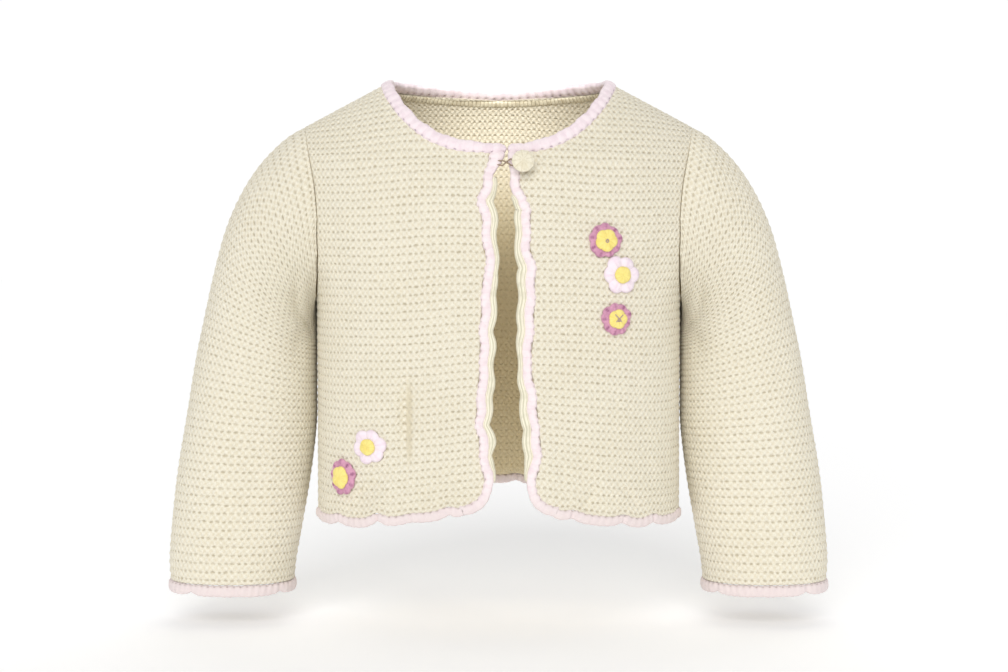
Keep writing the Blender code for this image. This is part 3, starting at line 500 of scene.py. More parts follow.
class BodyForm:
    """The outer surface of one face of the body, read by arc and height along the cloth."""

    def __init__(self, face: Face) -> None:
        """Works out the tables of one face."""
        self.face = face
        heights = [row.height for row in SECTIONS]
        reach = [row.front if face is Face.FRONT else row.back for row in SECTIONS]
        at = np.arange(0, heights[-1] + HEIGHT_SPARE, HEIGHT_STEP)
        self.half = eased(heights, [row.half_width for row in SECTIONS], at)
        self.reach = eased(heights, reach, at)
        self.power = eased(heights, [row.power for row in SECTIONS], at)
        sizes = zip(self.half.tolist(), self.reach.tolist(), self.power.tolist())
        self.across, self.out, self.length = quarter_table(sizes)
        reaches = np.arange(0, MOST_REACH, REACH_STEP).tolist()
        domes = [(DOME_HEIGHT[face], reach, DOME_POWER) for reach in reaches]
        self.dome_rise, self.dome_out, self.dome_length = quarter_table(domes)

    def section(self, height: float) -> tuple[float, float, float]:
        """Half width, reach and squareness at one height."""
        row = height / HEIGHT_STEP
        steps = np.arange(len(self.half))
        return tuple(float(np.interp(row, steps, t)) for t in (self.half, self.reach, self.power))

    def side_length(self, height: Array) -> Array:
        """Arc from the centre line to the side seam."""
        return np.interp(np.asarray(height) / HEIGHT_STEP, np.arange(len(self.length)), self.length)

    def arc_to(self, x: float, height: float) -> float:
        """Arc from the centre line to a distance from the middle, at one height."""
        a, _, run = quarter(*self.section(height))
        return math.copysign(float(np.interp(abs(x), a, run)), x)

    def straight(self, x: Array) -> Array:
        """Length of cloth above the hem that hangs straight before it bends over."""
        return shoulder_z(x) - DOME_HEIGHT[self.face] - HEM_Z

    def from_plan(self, x: float, y: float) -> tuple[float, float]:
        """Arc and height of the place that lies at x and y seen from above, near the shoulder."""
        height = FIRST_HEIGHT
        for _ in range(PLACING_ROUNDS):
            half, reach, power = self.section(height)
            a, b, _ = quarter(half, reach, power)
            here = float(np.interp(abs(x), a, b))
            _, b, run = quarter(DOME_HEIGHT[self.face], here, DOME_POWER)
            bend = float(np.interp(-min(abs(y), here), -b, run))
            height = float(self.straight(x)) + bend
        return self.arc_to(x, height), height

    def from_front(self, x: float, z: float) -> tuple[float, float]:
        """Arc and height of the place that lies at x and z seen from the front."""
        straight = float(self.straight(x))
        height = z - HEM_Z
        if height > straight:
            for _ in range(PLACING_ROUNDS):
                a, b, _ = quarter(*self.section(height))
                here = float(np.interp(abs(x), a, b))
                a, _, run = quarter(DOME_HEIGHT[self.face], here, DOME_POWER)
                height = straight + float(np.interp(z - HEM_Z - straight, a, run))
        return self.arc_to(x, height), height

    def folds(self, x: Array, z: Array) -> Array:
        """How far the folds and creases push the cloth in."""
        total = np.zeros_like(x)
        for fold in MAIN_FOLDS + CREASES:
            if fold.face is self.face:
                up = (z - fold.z) / fold.half_height
                side = (x - fold.x - fold.lean * (z - fold.z)) / fold.half_width
                total += fold.depth * np.exp(-side * side - up * up)
        return total

    def point(self, along: Array, height: Array) -> Array:
        """Points of the outer surface.

        Args:
            along: arc from the centre line.
            height: height along the cloth.

        Returns:
            The points, with x, y and z last.
        """
        last = CURVE_SAMPLES - 1
        row = np.clip(height / HEIGHT_STEP, 0, len(self.length) - 1.001)
        share = np.clip(np.abs(along) / self.side_length(height), 0, 1) * last
        x = np.sign(along) * between(self.across, row, share)
        y = between(self.out, row, share)
        straight = self.straight(x)
        over = np.maximum(height - straight, 0.0)
        row = y / REACH_STEP
        length = np.interp(row, np.arange(len(self.dome_length)), self.dome_length)
        share = np.clip(over / length, 0, 1) * last
        bent = over > 0
        z = HEM_Z + np.where(bent, straight + between(self.dome_rise, row, share), height)
        y = np.where(bent, between(self.dome_out, row, share), y)
        return np.stack([x, self.face.value * (y - self.folds(x, z)), z], axis=-1)

    def normal(self, along: Array, height: Array) -> Array:
        """Directions out of the cloth."""
        step = NORMAL_STEP
        across = self.point(along + step, height) - self.point(along - step, height)
        up = self.point(along, height + step) - self.point(along, height - step)
        return unit(np.cross(across, up) * -self.face.value)

    def lifted(self, along: Array, height: Array, lift: Array) -> Array:
        """Points of the surface moved out of the cloth."""
        return self.point(along, height) + self.normal(along, height) * np.asarray(lift)[..., None]


def unit(vectors: Array) -> Array:
    """The vectors at length one."""
    size = np.linalg.norm(vectors, axis=-1, keepdims=True)
    return vectors / np.maximum(size, 1e-12)


def run_along(points: Array) -> Array:
    """Length along a line to each of its points."""
    steps = np.linalg.norm(np.diff(points, axis=0), axis=1)
    return np.concatenate([[0], np.cumsum(steps)])


def squared(values: Array, power: float) -> Array:
    """Sines or cosines at a power with their signs kept, which squares a circle off."""
    return np.sign(values) * np.abs(values) ** power


FORMS = {face: BodyForm(face) for face in Face}


def hem_height(face: Face, along: Array) -> Array:
    """Height of the lower edge of the knitting."""
    share = np.minimum(1.0, np.abs(along) / HEM_RISE_WIDTH)
    return HEM_RISE[face] * (1 + np.cos(math.pi * share)) / 2


def hem_wave(face: Face, along: Array) -> Array:
    """How far the hem rises at the notches between its scallops and sags between them."""
    rise = np.full_like(along, -SCALLOP_SAG)
    for notch in HEM_NOTCHES[face]:
        rise = rise + notch.depth * np.exp(-(((along - notch.place) / NOTCH_REACH) ** 2))
    if face is Face.BACK:
        return rise
    ends = [abs(FRONT_EDGES[side][-1].band_x) + CORNER_RADIUS for side in (-1, 1)]
    return rise * smooth((np.abs(along) - np.where(along < 0, *ends)) / NOTCH_REACH)


def neck_line(face: Face, start_x: float) -> Array:
    """Arc and height along the neck edge, from a distance from the middle out to the shoulder."""
    power = NECK_POWER[face]
    start = math.acos((abs(start_x) / NECK_HALF_WIDTH) ** (power / 2))
    points = []
    for angle in np.linspace(start, 0, 61):
        x = NECK_HALF_WIDTH * math.cos(angle) ** (2 / power)
        y = NECK_REACH[face] * math.sin(angle) ** (2 / power)
        points.append(FORMS[face].from_plan(x, y))
    return np.array(points)


def armhole_line(face: Face) -> Array:
    """Arc and height along the armhole, from the underarm up to the shoulder tip."""
    form = FORMS[face]
    points = [(float(form.side_length(UNDERARM)) - SEAM / 2, UNDERARM)]
    for above, x in ARMHOLE[1:]:
        height = UNDERARM + above
        points.append((form.arc_to(x, height), height))
    tip = form.from_plan(SHOULDER_TIP_X, 0.0)
    points.append((tip[0], tip[1] - SEAM / 2))
    return np.array(points)


def shoulder_line(face: Face) -> Array:
    """Arc and height along the shoulder, from its tip in to the neck."""
    points = []
    for x in np.linspace(SHOULDER_TIP_X, NECK_HALF_WIDTH, 12):
        along, height = FORMS[face].from_plan(float(x), 0.0)
        points.append((along, height - SEAM / 2))
    return np.array(points)


def lookup(points: Array) -> Callable[[Array], Array]:
    """Makes a reader of arc by height from points that rise."""
    heights = np.maximum.accumulate(points[:, 1] + np.arange(len(points)) * 1e-9)
    return lambda height: np.interp(height, heights, points[:, 0])


class Outline:
    """How far a body panel reaches to either side at each height along the cloth."""

    def __init__(self, face: Face, side: int) -> None:
        """Works out the outline of a front, or of one half of the back."""
        self.face, self.side = face, side
        form = FORMS[face]
        heights = np.linspace(0, UNDERARM, 40, endpoint=False)
        seam = np.stack([form.side_length(heights) - SEAM / 2, heights], axis=1)
        outer = np.concatenate([seam, armhole_line(face), shoulder_line(face)[1:]])
        self.right = lookup(outer)
        self.top = float(outer[-1, 1])
        if face is Face.FRONT:
            self.left = self._front_edge(form)
        else:
            neck = neck_line(face, 0.0)
            foot = np.array([[0.0, 0.0], [0.0, neck[0, 1] + 1e-6]])
            self.neck_height = float(neck[0, 1])
            self.left = lookup(np.concatenate([foot, neck[1:]]))
            self.foot = 0.0

    def _front_edge(self, form: BodyForm) -> Callable[[Array], Array]:
        """Reader of the front edge, with the neck above it and the rounded corner below."""
        rows = FRONT_EDGES[self.side]
        neck = neck_line(self.face, abs(rows[0].band_x))
        self.neck_height = float(neck[0, 1])
        foot_x = abs(rows[-1].band_x)
        self.foot = float(hem_height(self.face, foot_x)) + CORNER_RADIUS
        heights = np.linspace(self.foot, self.neck_height, 160, endpoint=False)
        z = form.point(np.full_like(heights, foot_x), heights)[:, 2]
        at = np.abs(eased([-row.z for row in rows], [row.band_x for row in rows], -z))
        edge = [(form.arc_to(x, h), h) for x, h in zip(at.tolist(), heights.tolist())]
        turn = np.linspace(math.pi / 2, 0, 24, endpoint=False)
        corner = np.stack(
            [
                foot_x + CORNER_RADIUS * (1 - np.sin(turn[::-1])),
                self.foot - CORNER_RADIUS * np.cos(turn[::-1]),
            ],
            axis=1,
        )
        below = np.array([(foot_x + CORNER_RADIUS, 0.0)])
        rising = corner[np.argsort(corner[:, 1])]
        return lookup(np.concatenate([below, rising, np.array(edge), neck]))


def stitch_noise(seed: int) -> Array:
    """A table of even random numbers, one for each stitch."""
    return np.random.default_rng(seed).random((NOISE_SIZE, NOISE_SIZE))


UNEVEN = stitch_noise(7)


def garter_relief(stitch: Array, ridge: Array) -> Array:
    """Height of garter stitch between its holes and the tops of its ridges.

    Args:
        stitch: place along the ridge, whole where a strand crosses the hollow between two holes.
        ridge: place up the cloth, whole at the top of a ridge.

    Returns:
        Heights from 0 to 1.
    """
    column = np.round(stitch).astype(int)
    row = np.round(ridge).astype(int)
    chance = UNEVEN[column % NOISE_SIZE, row % NOISE_SIZE]
    ridge = ridge + 0.05 * np.sin(2 * math.pi * stitch) + 0.05 * (chance - 0.5)
    away = np.abs(ridge - np.round(ridge))
    crest = np.cos(math.pi * away) ** 1.3
    bead = np.cos(math.pi * (stitch - column)) ** 2
    valley = 0.50 * bead * (0.6 + 0.8 * chance)
    return crest * (0.96 - 0.26 * bead - 0.12 * chance) + (1 - crest) * valley


def row_wave(along: Array, height: Array) -> Array:
    """How far the rows of the body wander up and down."""
    slow = 0.0010 * np.sin(along * 38.0 + 0.7 + height * 9.0)
    quick = 0.0004 * np.sin(along * 95.0 + height * 31.0)
    return slow + quick


class MeshStack:
    """Vertices, faces and stitch places of one mesh, gathered grid by grid."""

    def __init__(self) -> None:
        """Starts with nothing."""
        self.points: list[Array] = []
        self.places: list[Array] = []
        self.faces: list[Array] = []
        self.count = 0

    def add_points(self, points: Array, places: Array) -> Array:
        """Adds a grid of points with their stitch places, and returns their numbers."""
        shape = points.shape[:-1]
        self.points.append(points.reshape(-1, 3))
        self.places.append(places.reshape(-1, 2))
        start, self.count = self.count, self.count + int(np.prod(shape))
        return np.arange(start, self.count).reshape(shape)

    def add_quads(self, grid: Array, flip: bool) -> None:
        """Adds the cells of a grid of point numbers."""
        cells = [grid[:-1, :-1], grid[:-1, 1:], grid[1:, 1:], grid[1:, :-1]]
        quads = np.stack([cell.ravel() for cell in cells], axis=1)
        self.faces.append(quads[:, ::-1] if flip else quads)

    def add_rim(self, fine: Array, coarse: Array, flip: bool) -> None:
        """Joins a fine line of points to a coarse one with triangles.

        Args:
            fine: numbers of the fine points.
            coarse: numbers of the coarse points, with the same ends.
            flip: whether the triangles turn the other way.
        """
        ratio = (len(fine) - 1) // (len(coarse) - 1)
        half = ratio // 2
        rows = []
        for k in range(len(coarse) - 1):
            for j in range(ratio):
                near = coarse[k] if j < half else coarse[k + 1]
                rows.append((fine[k * ratio + j], fine[k * ratio + j + 1], near))
            rows.append((fine[k * ratio + half], coarse[k + 1], coarse[k]))
        triangles = np.array(rows)
        if flip:
            triangles = triangles[:, ::-1]
        no_corner = np.full((len(triangles), 1), -1)
        self.faces.append(np.concatenate([triangles, no_corner], axis=1))

    def mesh(self, name: str) -> bpy.types.Mesh:
        """Makes the mesh, with equal points merged and its stitch places as a UV map."""
        points, places = np.concatenate(self.points), np.concatenate(self.places)
        keys = np.round(points * 1e7).astype(np.int64)
        _, first, merged = np.unique(keys, axis=0, return_index=True, return_inverse=True)
        merged = merged.reshape(-1)
        faces, loops = [], []
        for row in np.concatenate(self.faces).tolist():
            corners, sources = [], []
            for number in row:
                if number >= 0 and merged[number] not in corners:
                    corners.append(int(merged[number]))
                    sources.append(number)
            if len(corners) > 2:
                faces.append(corners)
                loops.extend(sources)
        mesh = bpy.data.meshes.new(name)
        mesh.from_pydata(points[first].tolist(), [], faces)
        layer = mesh.uv_layers.new(name="stitches")
        layer.data.foreach_set("uv", places[np.array(loops)].astype(np.float32).ravel())
        mesh.shade_smooth()
        mesh.validate()
        return mesh


def finish_piece(
    item: bpy.types.Object, finish: "Finish", nodes: Sequence[str]
) -> bpy.types.Object:
    """Gives a piece its material and body, and puts it in the place of its nodes.

    Args:
        item: the piece, with its place in its mesh.
        finish: the finish that it wears.
        nodes: the nodes that it stands for.

    Returns:
        The piece.
    """
    item.data.materials.clear()
    item.data.materials.append(finish.material())
    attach(item, "root")
    if nodes:
        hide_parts(*nodes)
    LOG.info("%s: %d faces", item.name, len(item.data.polygons))
    return item


def link_mesh(name: str, mesh: bpy.types.Mesh) -> bpy.types.Object:
    """Links a mesh under a name at the origin."""
    item = bpy.data.objects.new(name, mesh)
    bpy.context.scene.collection.objects.link(item)
    return item


class Shading:
    """Adds shader nodes to a tree and wires them."""

    def __init__(self, tree: bpy.types.NodeTree) -> None:
        """Keeps the tree."""
        self.tree = tree

    def node(self, kind: str, settings: dict | None = None, **inputs: object) -> bpy.types.Node:
        """Adds one node.

        Args:
            kind: its type, without the ShaderNode before it.
            settings: its own settings by name.
            **inputs: values or sockets for its inputs, spaces written as underscores.

        Returns:
            The node.
        """
        made = self.tree.nodes.new("ShaderNode" + kind)
        for key, value in (settings or {}).items():
            setattr(made, key, value)
        for key, value in inputs.items():
            self.feed(made.inputs[key.replace("_", " ")], value)
        return made

    def feed(self, socket: bpy.types.NodeSocket, value: object) -> None:
        """Wires a socket to an input, or sets the input's value."""
        if isinstance(value, bpy.types.NodeSocket):
            self.tree.links.new(value, socket)
        else:
            socket.default_value = value

    def math(self, operation: str, *values: object) -> bpy.types.NodeSocket:
        """Adds a Math node and returns its output."""
        made = self.tree.nodes.new("ShaderNodeMath")
        made.operation = operation
        for socket, value in zip(made.inputs, values):
            self.feed(socket, value)
        return made.outputs[0]

    def ramp(self, value: object, low: float, high: float) -> bpy.types.NodeSocket:
        """Eases a value from 0 at low to 1 at high."""
        settings = {"interpolation_type": "SMOOTHSTEP"}
        made = self.node("MapRange", settings, Value=value, From_Min=low, From_Max=high)
        return made.outputs["Result"]

    def mix(self, share: object, one: object, two: object) -> bpy.types.NodeSocket:
        """Mixes two colours."""
        made = self.tree.nodes.new("ShaderNodeMix")
        made.data_type = "RGBA"
        self.feed(made.inputs[0], share)
        self.feed(made.inputs[6], one)
        self.feed(made.inputs[7], two)
        return made.outputs[2]

    def tinted(self, tone: object, mask: object, share: float, colour: Colour) -> object:
        """A tone with a share of a colour mixed in where the mask is."""
        return self.mix(self.math("MULTIPLY", mask, share), tone, (*colour, 1.0))


def effect_group(name: str, inputs: dict[str, str], outputs: dict[str, str]) -> tuple:
    """Starts a shader node group.

    Args:
        name: the group's name.
        inputs: socket types by input name.
        outputs: socket types by output name.

    Returns:
        The group, its shading helper, its input node and its output node.
    """
    group = bpy.data.node_groups.new(name, "ShaderNodeTree")
    for key, kind in inputs.items():
        group.interface.new_socket(key, in_out="INPUT", socket_type="NodeSocket" + kind)
    for key, kind in outputs.items():
        group.interface.new_socket(key, in_out="OUTPUT", socket_type="NodeSocket" + kind)
    start = group.nodes.new("NodeGroupInput")
    end = group.nodes.new("NodeGroupOutput")
    return group, Shading(group), start, end


@functools.lru_cache(maxsize=None)
def garter_group() -> bpy.types.NodeTree:
    """Masks of garter stitch for painted shade in its holes, in the lines that join them and in its
    dimples, for painted highlight on its beads, and the strands' own relief.
    """
    group, draw, start, end = effect_group(
        "garter_stitch",
        {"Stitches": "Vector"},
        {
            "Hole": "Float",
            "Line": "Float",
            "Dimple": "Float",
            "Bead Highlight": "Float",
            "Strand": "Float",
            "Relief": "Float",
        },
    )
    wander = draw.node("TexNoise", {"noise_dimensions": "2D"}, Vector=start.outputs[0], Scale=0.9)
    spread = draw.node("VectorMath", {"operation": "SUBTRACT"})
    draw.feed(spread.inputs[0], wander.outputs["Color"])
    spread.inputs[1].default_value = (0.5, 0.5, 0.5)
    small = draw.node("VectorMath", {"operation": "MULTIPLY"})
    draw.feed(small.inputs[0], spread.outputs[0])
    small.inputs[1].default_value = (0.55, 0.30, 0.0)
    moved = draw.node("VectorMath", {"operation": "ADD"})
    draw.feed(moved.inputs[0], start.outputs[0])
    draw.feed(moved.inputs[1], small.outputs[0])
    parts = draw.node("SeparateXYZ", None, Vector=moved.outputs[0])
    across, up = parts.outputs[0], parts.outputs[1]
    cell = draw.node(
        "CombineXYZ", None, X=draw.math("FLOOR", across), Y=draw.math("FLOOR", up)
    )
    chance = draw.node("TexWhiteNoise", {"noise_dimensions": "2D"}, Vector=cell.outputs[0])
    side = draw.math("SUBTRACT", draw.math("FRACT", across), 0.5)
    rise = draw.math("SUBTRACT", draw.math("FRACT", up), 0.5)
    wide = draw.math("POWER", draw.math("DIVIDE", side, 0.34), 2.0)
    tall = draw.math("POWER", draw.math("DIVIDE", rise, 0.15), 2.0)
    away = draw.math("SQRT", draw.math("ADD", wide, tall))
    # Where the holes lie; they take painted shade and sink the relief
    hole = draw.ramp(away, 1.25, 0.15)
    strength = draw.math("MULTIPLY_ADD", chance.outputs["Value"], 0.7, 0.3)
    draw.feed(end.inputs["Hole"], draw.math("MULTIPLY", hole, strength))
    waves = [
        draw.math("COSINE", draw.math("MULTIPLY", place, 2 * math.pi)) for place in (across, up)
    ]
    lattice = draw.math("MULTIPLY", waves[0], waves[1])
    # Painted highlight on the tops of the beads
    draw.feed(end.inputs["Bead Highlight"], draw.ramp(lattice, 0.35, -0.75))
    # Painted shade in the dimples
    dimple = draw.math("MULTIPLY", draw.ramp(lattice, 0.35, 1.0), draw.ramp(waves[1], -0.2, 0.7))
    draw.feed(end.inputs["Dimple"], dimple)
    # Painted shade in the lines that join the holes between the ridges
    arc = draw.math("MULTIPLY_ADD", waves[0], 0.085, rise)
    draw.feed(end.inputs["Line"], draw.ramp(draw.math("ABSOLUTE", arc), 0.13, 0.0))
    strand = draw.node("Mapping", None, Vector=start.outputs[0])
    strand.inputs["Scale"].default_value = (5.0, 6.5, 1.0)
    strand.inputs["Rotation"].default_value = (0.0, 0.0, 0.5)
    fine = draw.node(
        "TexNoise", {"noise_dimensions": "2D"}, Vector=strand.outputs[0], Scale=1.0, Detail=3.0
    )
    draw.feed(end.inputs["Strand"], fine.outputs[0])
    raised = draw.math("MULTIPLY_ADD", lattice, -0.5, fine.outputs[0])
    deep = draw.math("MULTIPLY_ADD", hole, -0.8, raised)
    draw.feed(end.inputs["Relief"], deep)
    return group


@dataclass(frozen=True)
class Finish:
    """A yarn finish: its slot, colours and how it takes the light."""

    name: str
    slot: str
    colour: Colour
    deep: Colour
    roughness: float = 0.88
    sheen: float = 0.25

    def material(self) -> bpy.types.Material:
        """The material, made at its first use."""
        found = bpy.data.materials.get(self.name)
        if found:
            return found
        made = bpy.data.materials.new(self.name)
        made.use_nodes = True
        shader = made.node_tree.nodes["Principled BSDF"]
        shader.inputs["Roughness"].default_value = self.roughness
        shader.inputs["Sheen Weight"].default_value = self.sheen
        shader.inputs["Sheen Roughness"].default_value = 0.5
        shader.inputs["Specular IOR Level"].default_value = 0.2
        self.paint(Shading(made.node_tree), shader)
        return made

    def paint(self, draw: Shading, shader: bpy.types.Node) -> None:
        """Wires the colour and the relief of plain yarn."""
        place = draw.node("TexCoord").outputs["Object"]
        cloud = draw.node("TexNoise", None, Vector=place, Scale=60.0, Detail=2.0)
        fibre = draw.node("TexNoise", None, Vector=place, Scale=1800.0, Detail=2.0)
        shade = draw.math("MULTIPLY_ADD", cloud.outputs[0], 0.5, -0.1)
        tone = draw.mix(shade, (*self.colour, 1.0), (*self.deep, 1.0))
        draw.feed(shader.inputs["Base Color"], tone)
        bump = draw.node("Bump", None, Height=fibre.outputs[0], Strength=0.4, Distance=0.0003)
        draw.feed(shader.inputs["Normal"], bump.outputs[0])


@dataclass(frozen=True)
class KnitFinish(Finish):
    """Garter stitch, with painted shade in its holes, its dimples, the lines between its ridges,
    the inside of its wall and its long crease, and painted highlight on its beads.
    """

    # Painted shade in the holes
    hole: Colour = (0.42, 0.34, 0.20)
    # Painted highlight on the tops of the beads
    light: Colour = (0.93, 0.89, 0.76)
    # Painted shade of the inside of the wall
    inner: Colour = (0.76, 0.64, 0.39)

    def paint(self, draw: Shading, shader: bpy.types.Node) -> None:
        """Wires the colour and the relief of garter stitch."""
        stitches = draw.node("UVMap", {"uv_map": "stitches"}).outputs[0]
        marks = draw.node("Group", {"node_tree": garter_group()}, Stitches=stitches)
        place = draw.node("TexCoord").outputs["Object"]
        x, y, height = draw.node("SeparateXYZ", None, Vector=place).outputs
        cloud = draw.node("TexNoise", None, Vector=place, Scale=38.0, Detail=3.0)
        tone = (*self.colour, 1.0)
        # Random cloudy tone, painted highlight on the beads, darker flecks of the strands, then
        # painted shade in the dimples, in the lines between the ridges, in the holes and in the
        # long crease
        for mask, share, colour in (
            (draw.ramp(cloud.outputs[0], 0.35, 0.75), 0.25, self.deep),
            (marks.outputs["Bead Highlight"], 0.75, self.light),
            (draw.ramp(marks.outputs["Strand"], 0.47, 0.36), 0.55, self.deep),
            (marks.outputs["Dimple"], 0.55, self.deep),
            (marks.outputs["Line"], 0.40, self.deep),
            (marks.outputs["Hole"], 0.62, self.hole),
            (self.crease(draw, x, y, height), CREASE_SHARE, self.deep),
        ):
            tone = draw.tinted(tone, mask, share, colour)
        # Painted shade inside the wall: a warm deep colour, taken more from the neck downwards
        row = draw.node("SeparateXYZ", None, Vector=stitches).outputs[1]
        inner_painted_shade = draw.math("MULTIPLY_ADD", draw.ramp(height, -0.030, -0.090), 0.68, 0.15)
        inner = draw.math("MULTIPLY", draw.math("GREATER_THAN", row, INSIDE[1] / 2), inner_painted_shade)
        draw.feed(shader.inputs["Base Color"], draw.mix(inner, tone, (*self.inner, 1.0)))
        bump = draw.node(
            "Bump", None, Height=marks.outputs["Relief"], Strength=0.65, Distance=0.0007
        )
        draw.feed(shader.inputs["Normal"], bump.outputs[0])

    def crease(self, draw: Shading, x: object, y: object, height: object) -> object:
        """Where the long upright crease of the front lies in shade."""
        away = draw.math("ABSOLUTE", draw.math("SUBTRACT", x, CREASE_X))
        tall = draw.math(
            "MULTIPLY", draw.ramp(height, *CREASE_FOOT), draw.ramp(height, *CREASE_TOP)
        )
        shade = draw.math("MULTIPLY", draw.ramp(away, *CREASE_SIDES), tall)
        return draw.math("MULTIPLY", shade, draw.math("LESS_THAN", y, 0.0))


CREAM = KnitFinish("cream_garter", "cream_knit", (0.852, 0.793, 0.648), (0.75, 0.67, 0.49))


@dataclass
class BodyPanel:
    """A knitted panel of the body: a front, or the back in two halves that share a mesh."""

    node: str
    face: Face
    sides: tuple[int, ...]
    flat: tuple[float, float]
    area: float
    cells: int = RIDGE_CELLS
    outlines: dict[int, Outline] = field(init=False)

    def __post_init__(self) -> None:
        """Works out the outlines."""
        self.outlines = {side: Outline(self.face, side) for side in self.sides}

    def layout(self, side: int) -> tuple[Array, Array, Array, Array]:
        """Places of the fine grid of one front or half back.

        Args:
            side: which one.

        Returns:
            Arc, height, stitch and ridge of each grid point.
        """
        outline = self.outlines[side]
        to_neck = round(outline.neck_height / RIDGE)
        ridges = to_neck + math.ceil((outline.top - outline.neck_height) / RIDGE)
        rows = np.arange(ridges * self.cells + 1) / self.cells
        marks = (0.0, outline.neck_height, outline.top)
        levels = np.interp(rows, (0, to_neck, ridges), marks)
        reach = float(np.max(outline.right(levels)))
        first = math.floor(float(np.min(outline.left(levels))) / STITCH)
        last = math.ceil(reach / STITCH)
        columns = np.arange((last - first) * STITCH_CELLS + 1) / STITCH_CELLS + first
        nominal = np.broadcast_to(levels[:, None], (len(rows), len(columns)))
        calm = smooth(nominal / ROW_CALM) * smooth((outline.top - nominal) / ROW_CALM)
        calm = calm * smooth(np.abs(nominal - outline.neck_height) / NECK_CALM)
        height = nominal
        for _ in range(LEVEL_ROUNDS):
            low, high = outline.left(height), outline.right(height)
            along = np.clip(columns * STITCH, low, np.maximum(low, high))
            level = nominal + row_wave(side * along, nominal) * calm
            fade = np.clip(1 - level / ROW_FADE_HEIGHT, 0, 1) ** FADE_POWER
            near_hem = np.clip(1 - level / SCALLOP_FADE_HEIGHT, 0, 1) ** FADE_POWER
            rise = hem_height(self.face, along) * fade
            rise = rise + hem_wave(self.face, side * along) * near_hem
            height = np.minimum(level + rise, outline.top)
        along[-1] = along[-1, -1]
        ridge = np.broadcast_to(rows[:, None], nominal.shape)
        return side * along, height, side * along / STITCH, ridge

    def build(self) -> bpy.types.Object:
        """Builds and dresses the panel."""
        form = FORMS[self.face]
        stack = MeshStack()
        for side in self.sides:
            along, height, stitch, ridge = self.layout(side)
            outline = self.outlines[side]
            relief = garter_relief(stitch, ridge) * RELIEF + RELIEF_TOP - RELIEF
            inset = np.abs(np.abs(along) - outline.right(height))
            calm = smooth(inset / SEAM_CALM)
            outer = form.lifted(along, height, relief * calm - (1 - calm) * EDGE_SINK)
            places = np.stack([stitch, ridge], axis=-1)
            fine = stack.add_points(outer, places)
            few = (slice(None, None, self.cells), slice(None, None, STITCH_CELLS))
            inner = form.lifted(along[few], height[few], np.full(along[few].shape, -KNIT_WALL))
            coarse = stack.add_points(inner, places[few] + INSIDE)
            turned = (side > 0) != (self.face is Face.FRONT)
            stack.add_quads(fine, turned)
            stack.add_quads(coarse, not turned)
            stack.add_rim(fine[0], coarse[0], not turned)
            stack.add_rim(fine[:, -1], coarse[:, -1], not turned)
            if self.face is Face.FRONT:
                stack.add_rim(fine[:, 0], coarse[:, 0], turned)
            else:
                start = round(outline.neck_height / RIDGE)
                above = start * self.cells
                stack.add_rim(fine[above:, 0], coarse[start:, 0], turned)
        item = link_mesh("knit_" + self.node, stack.mesh("knit_" + self.node))
        finish_piece(item, CREAM, [self.node])
        return item


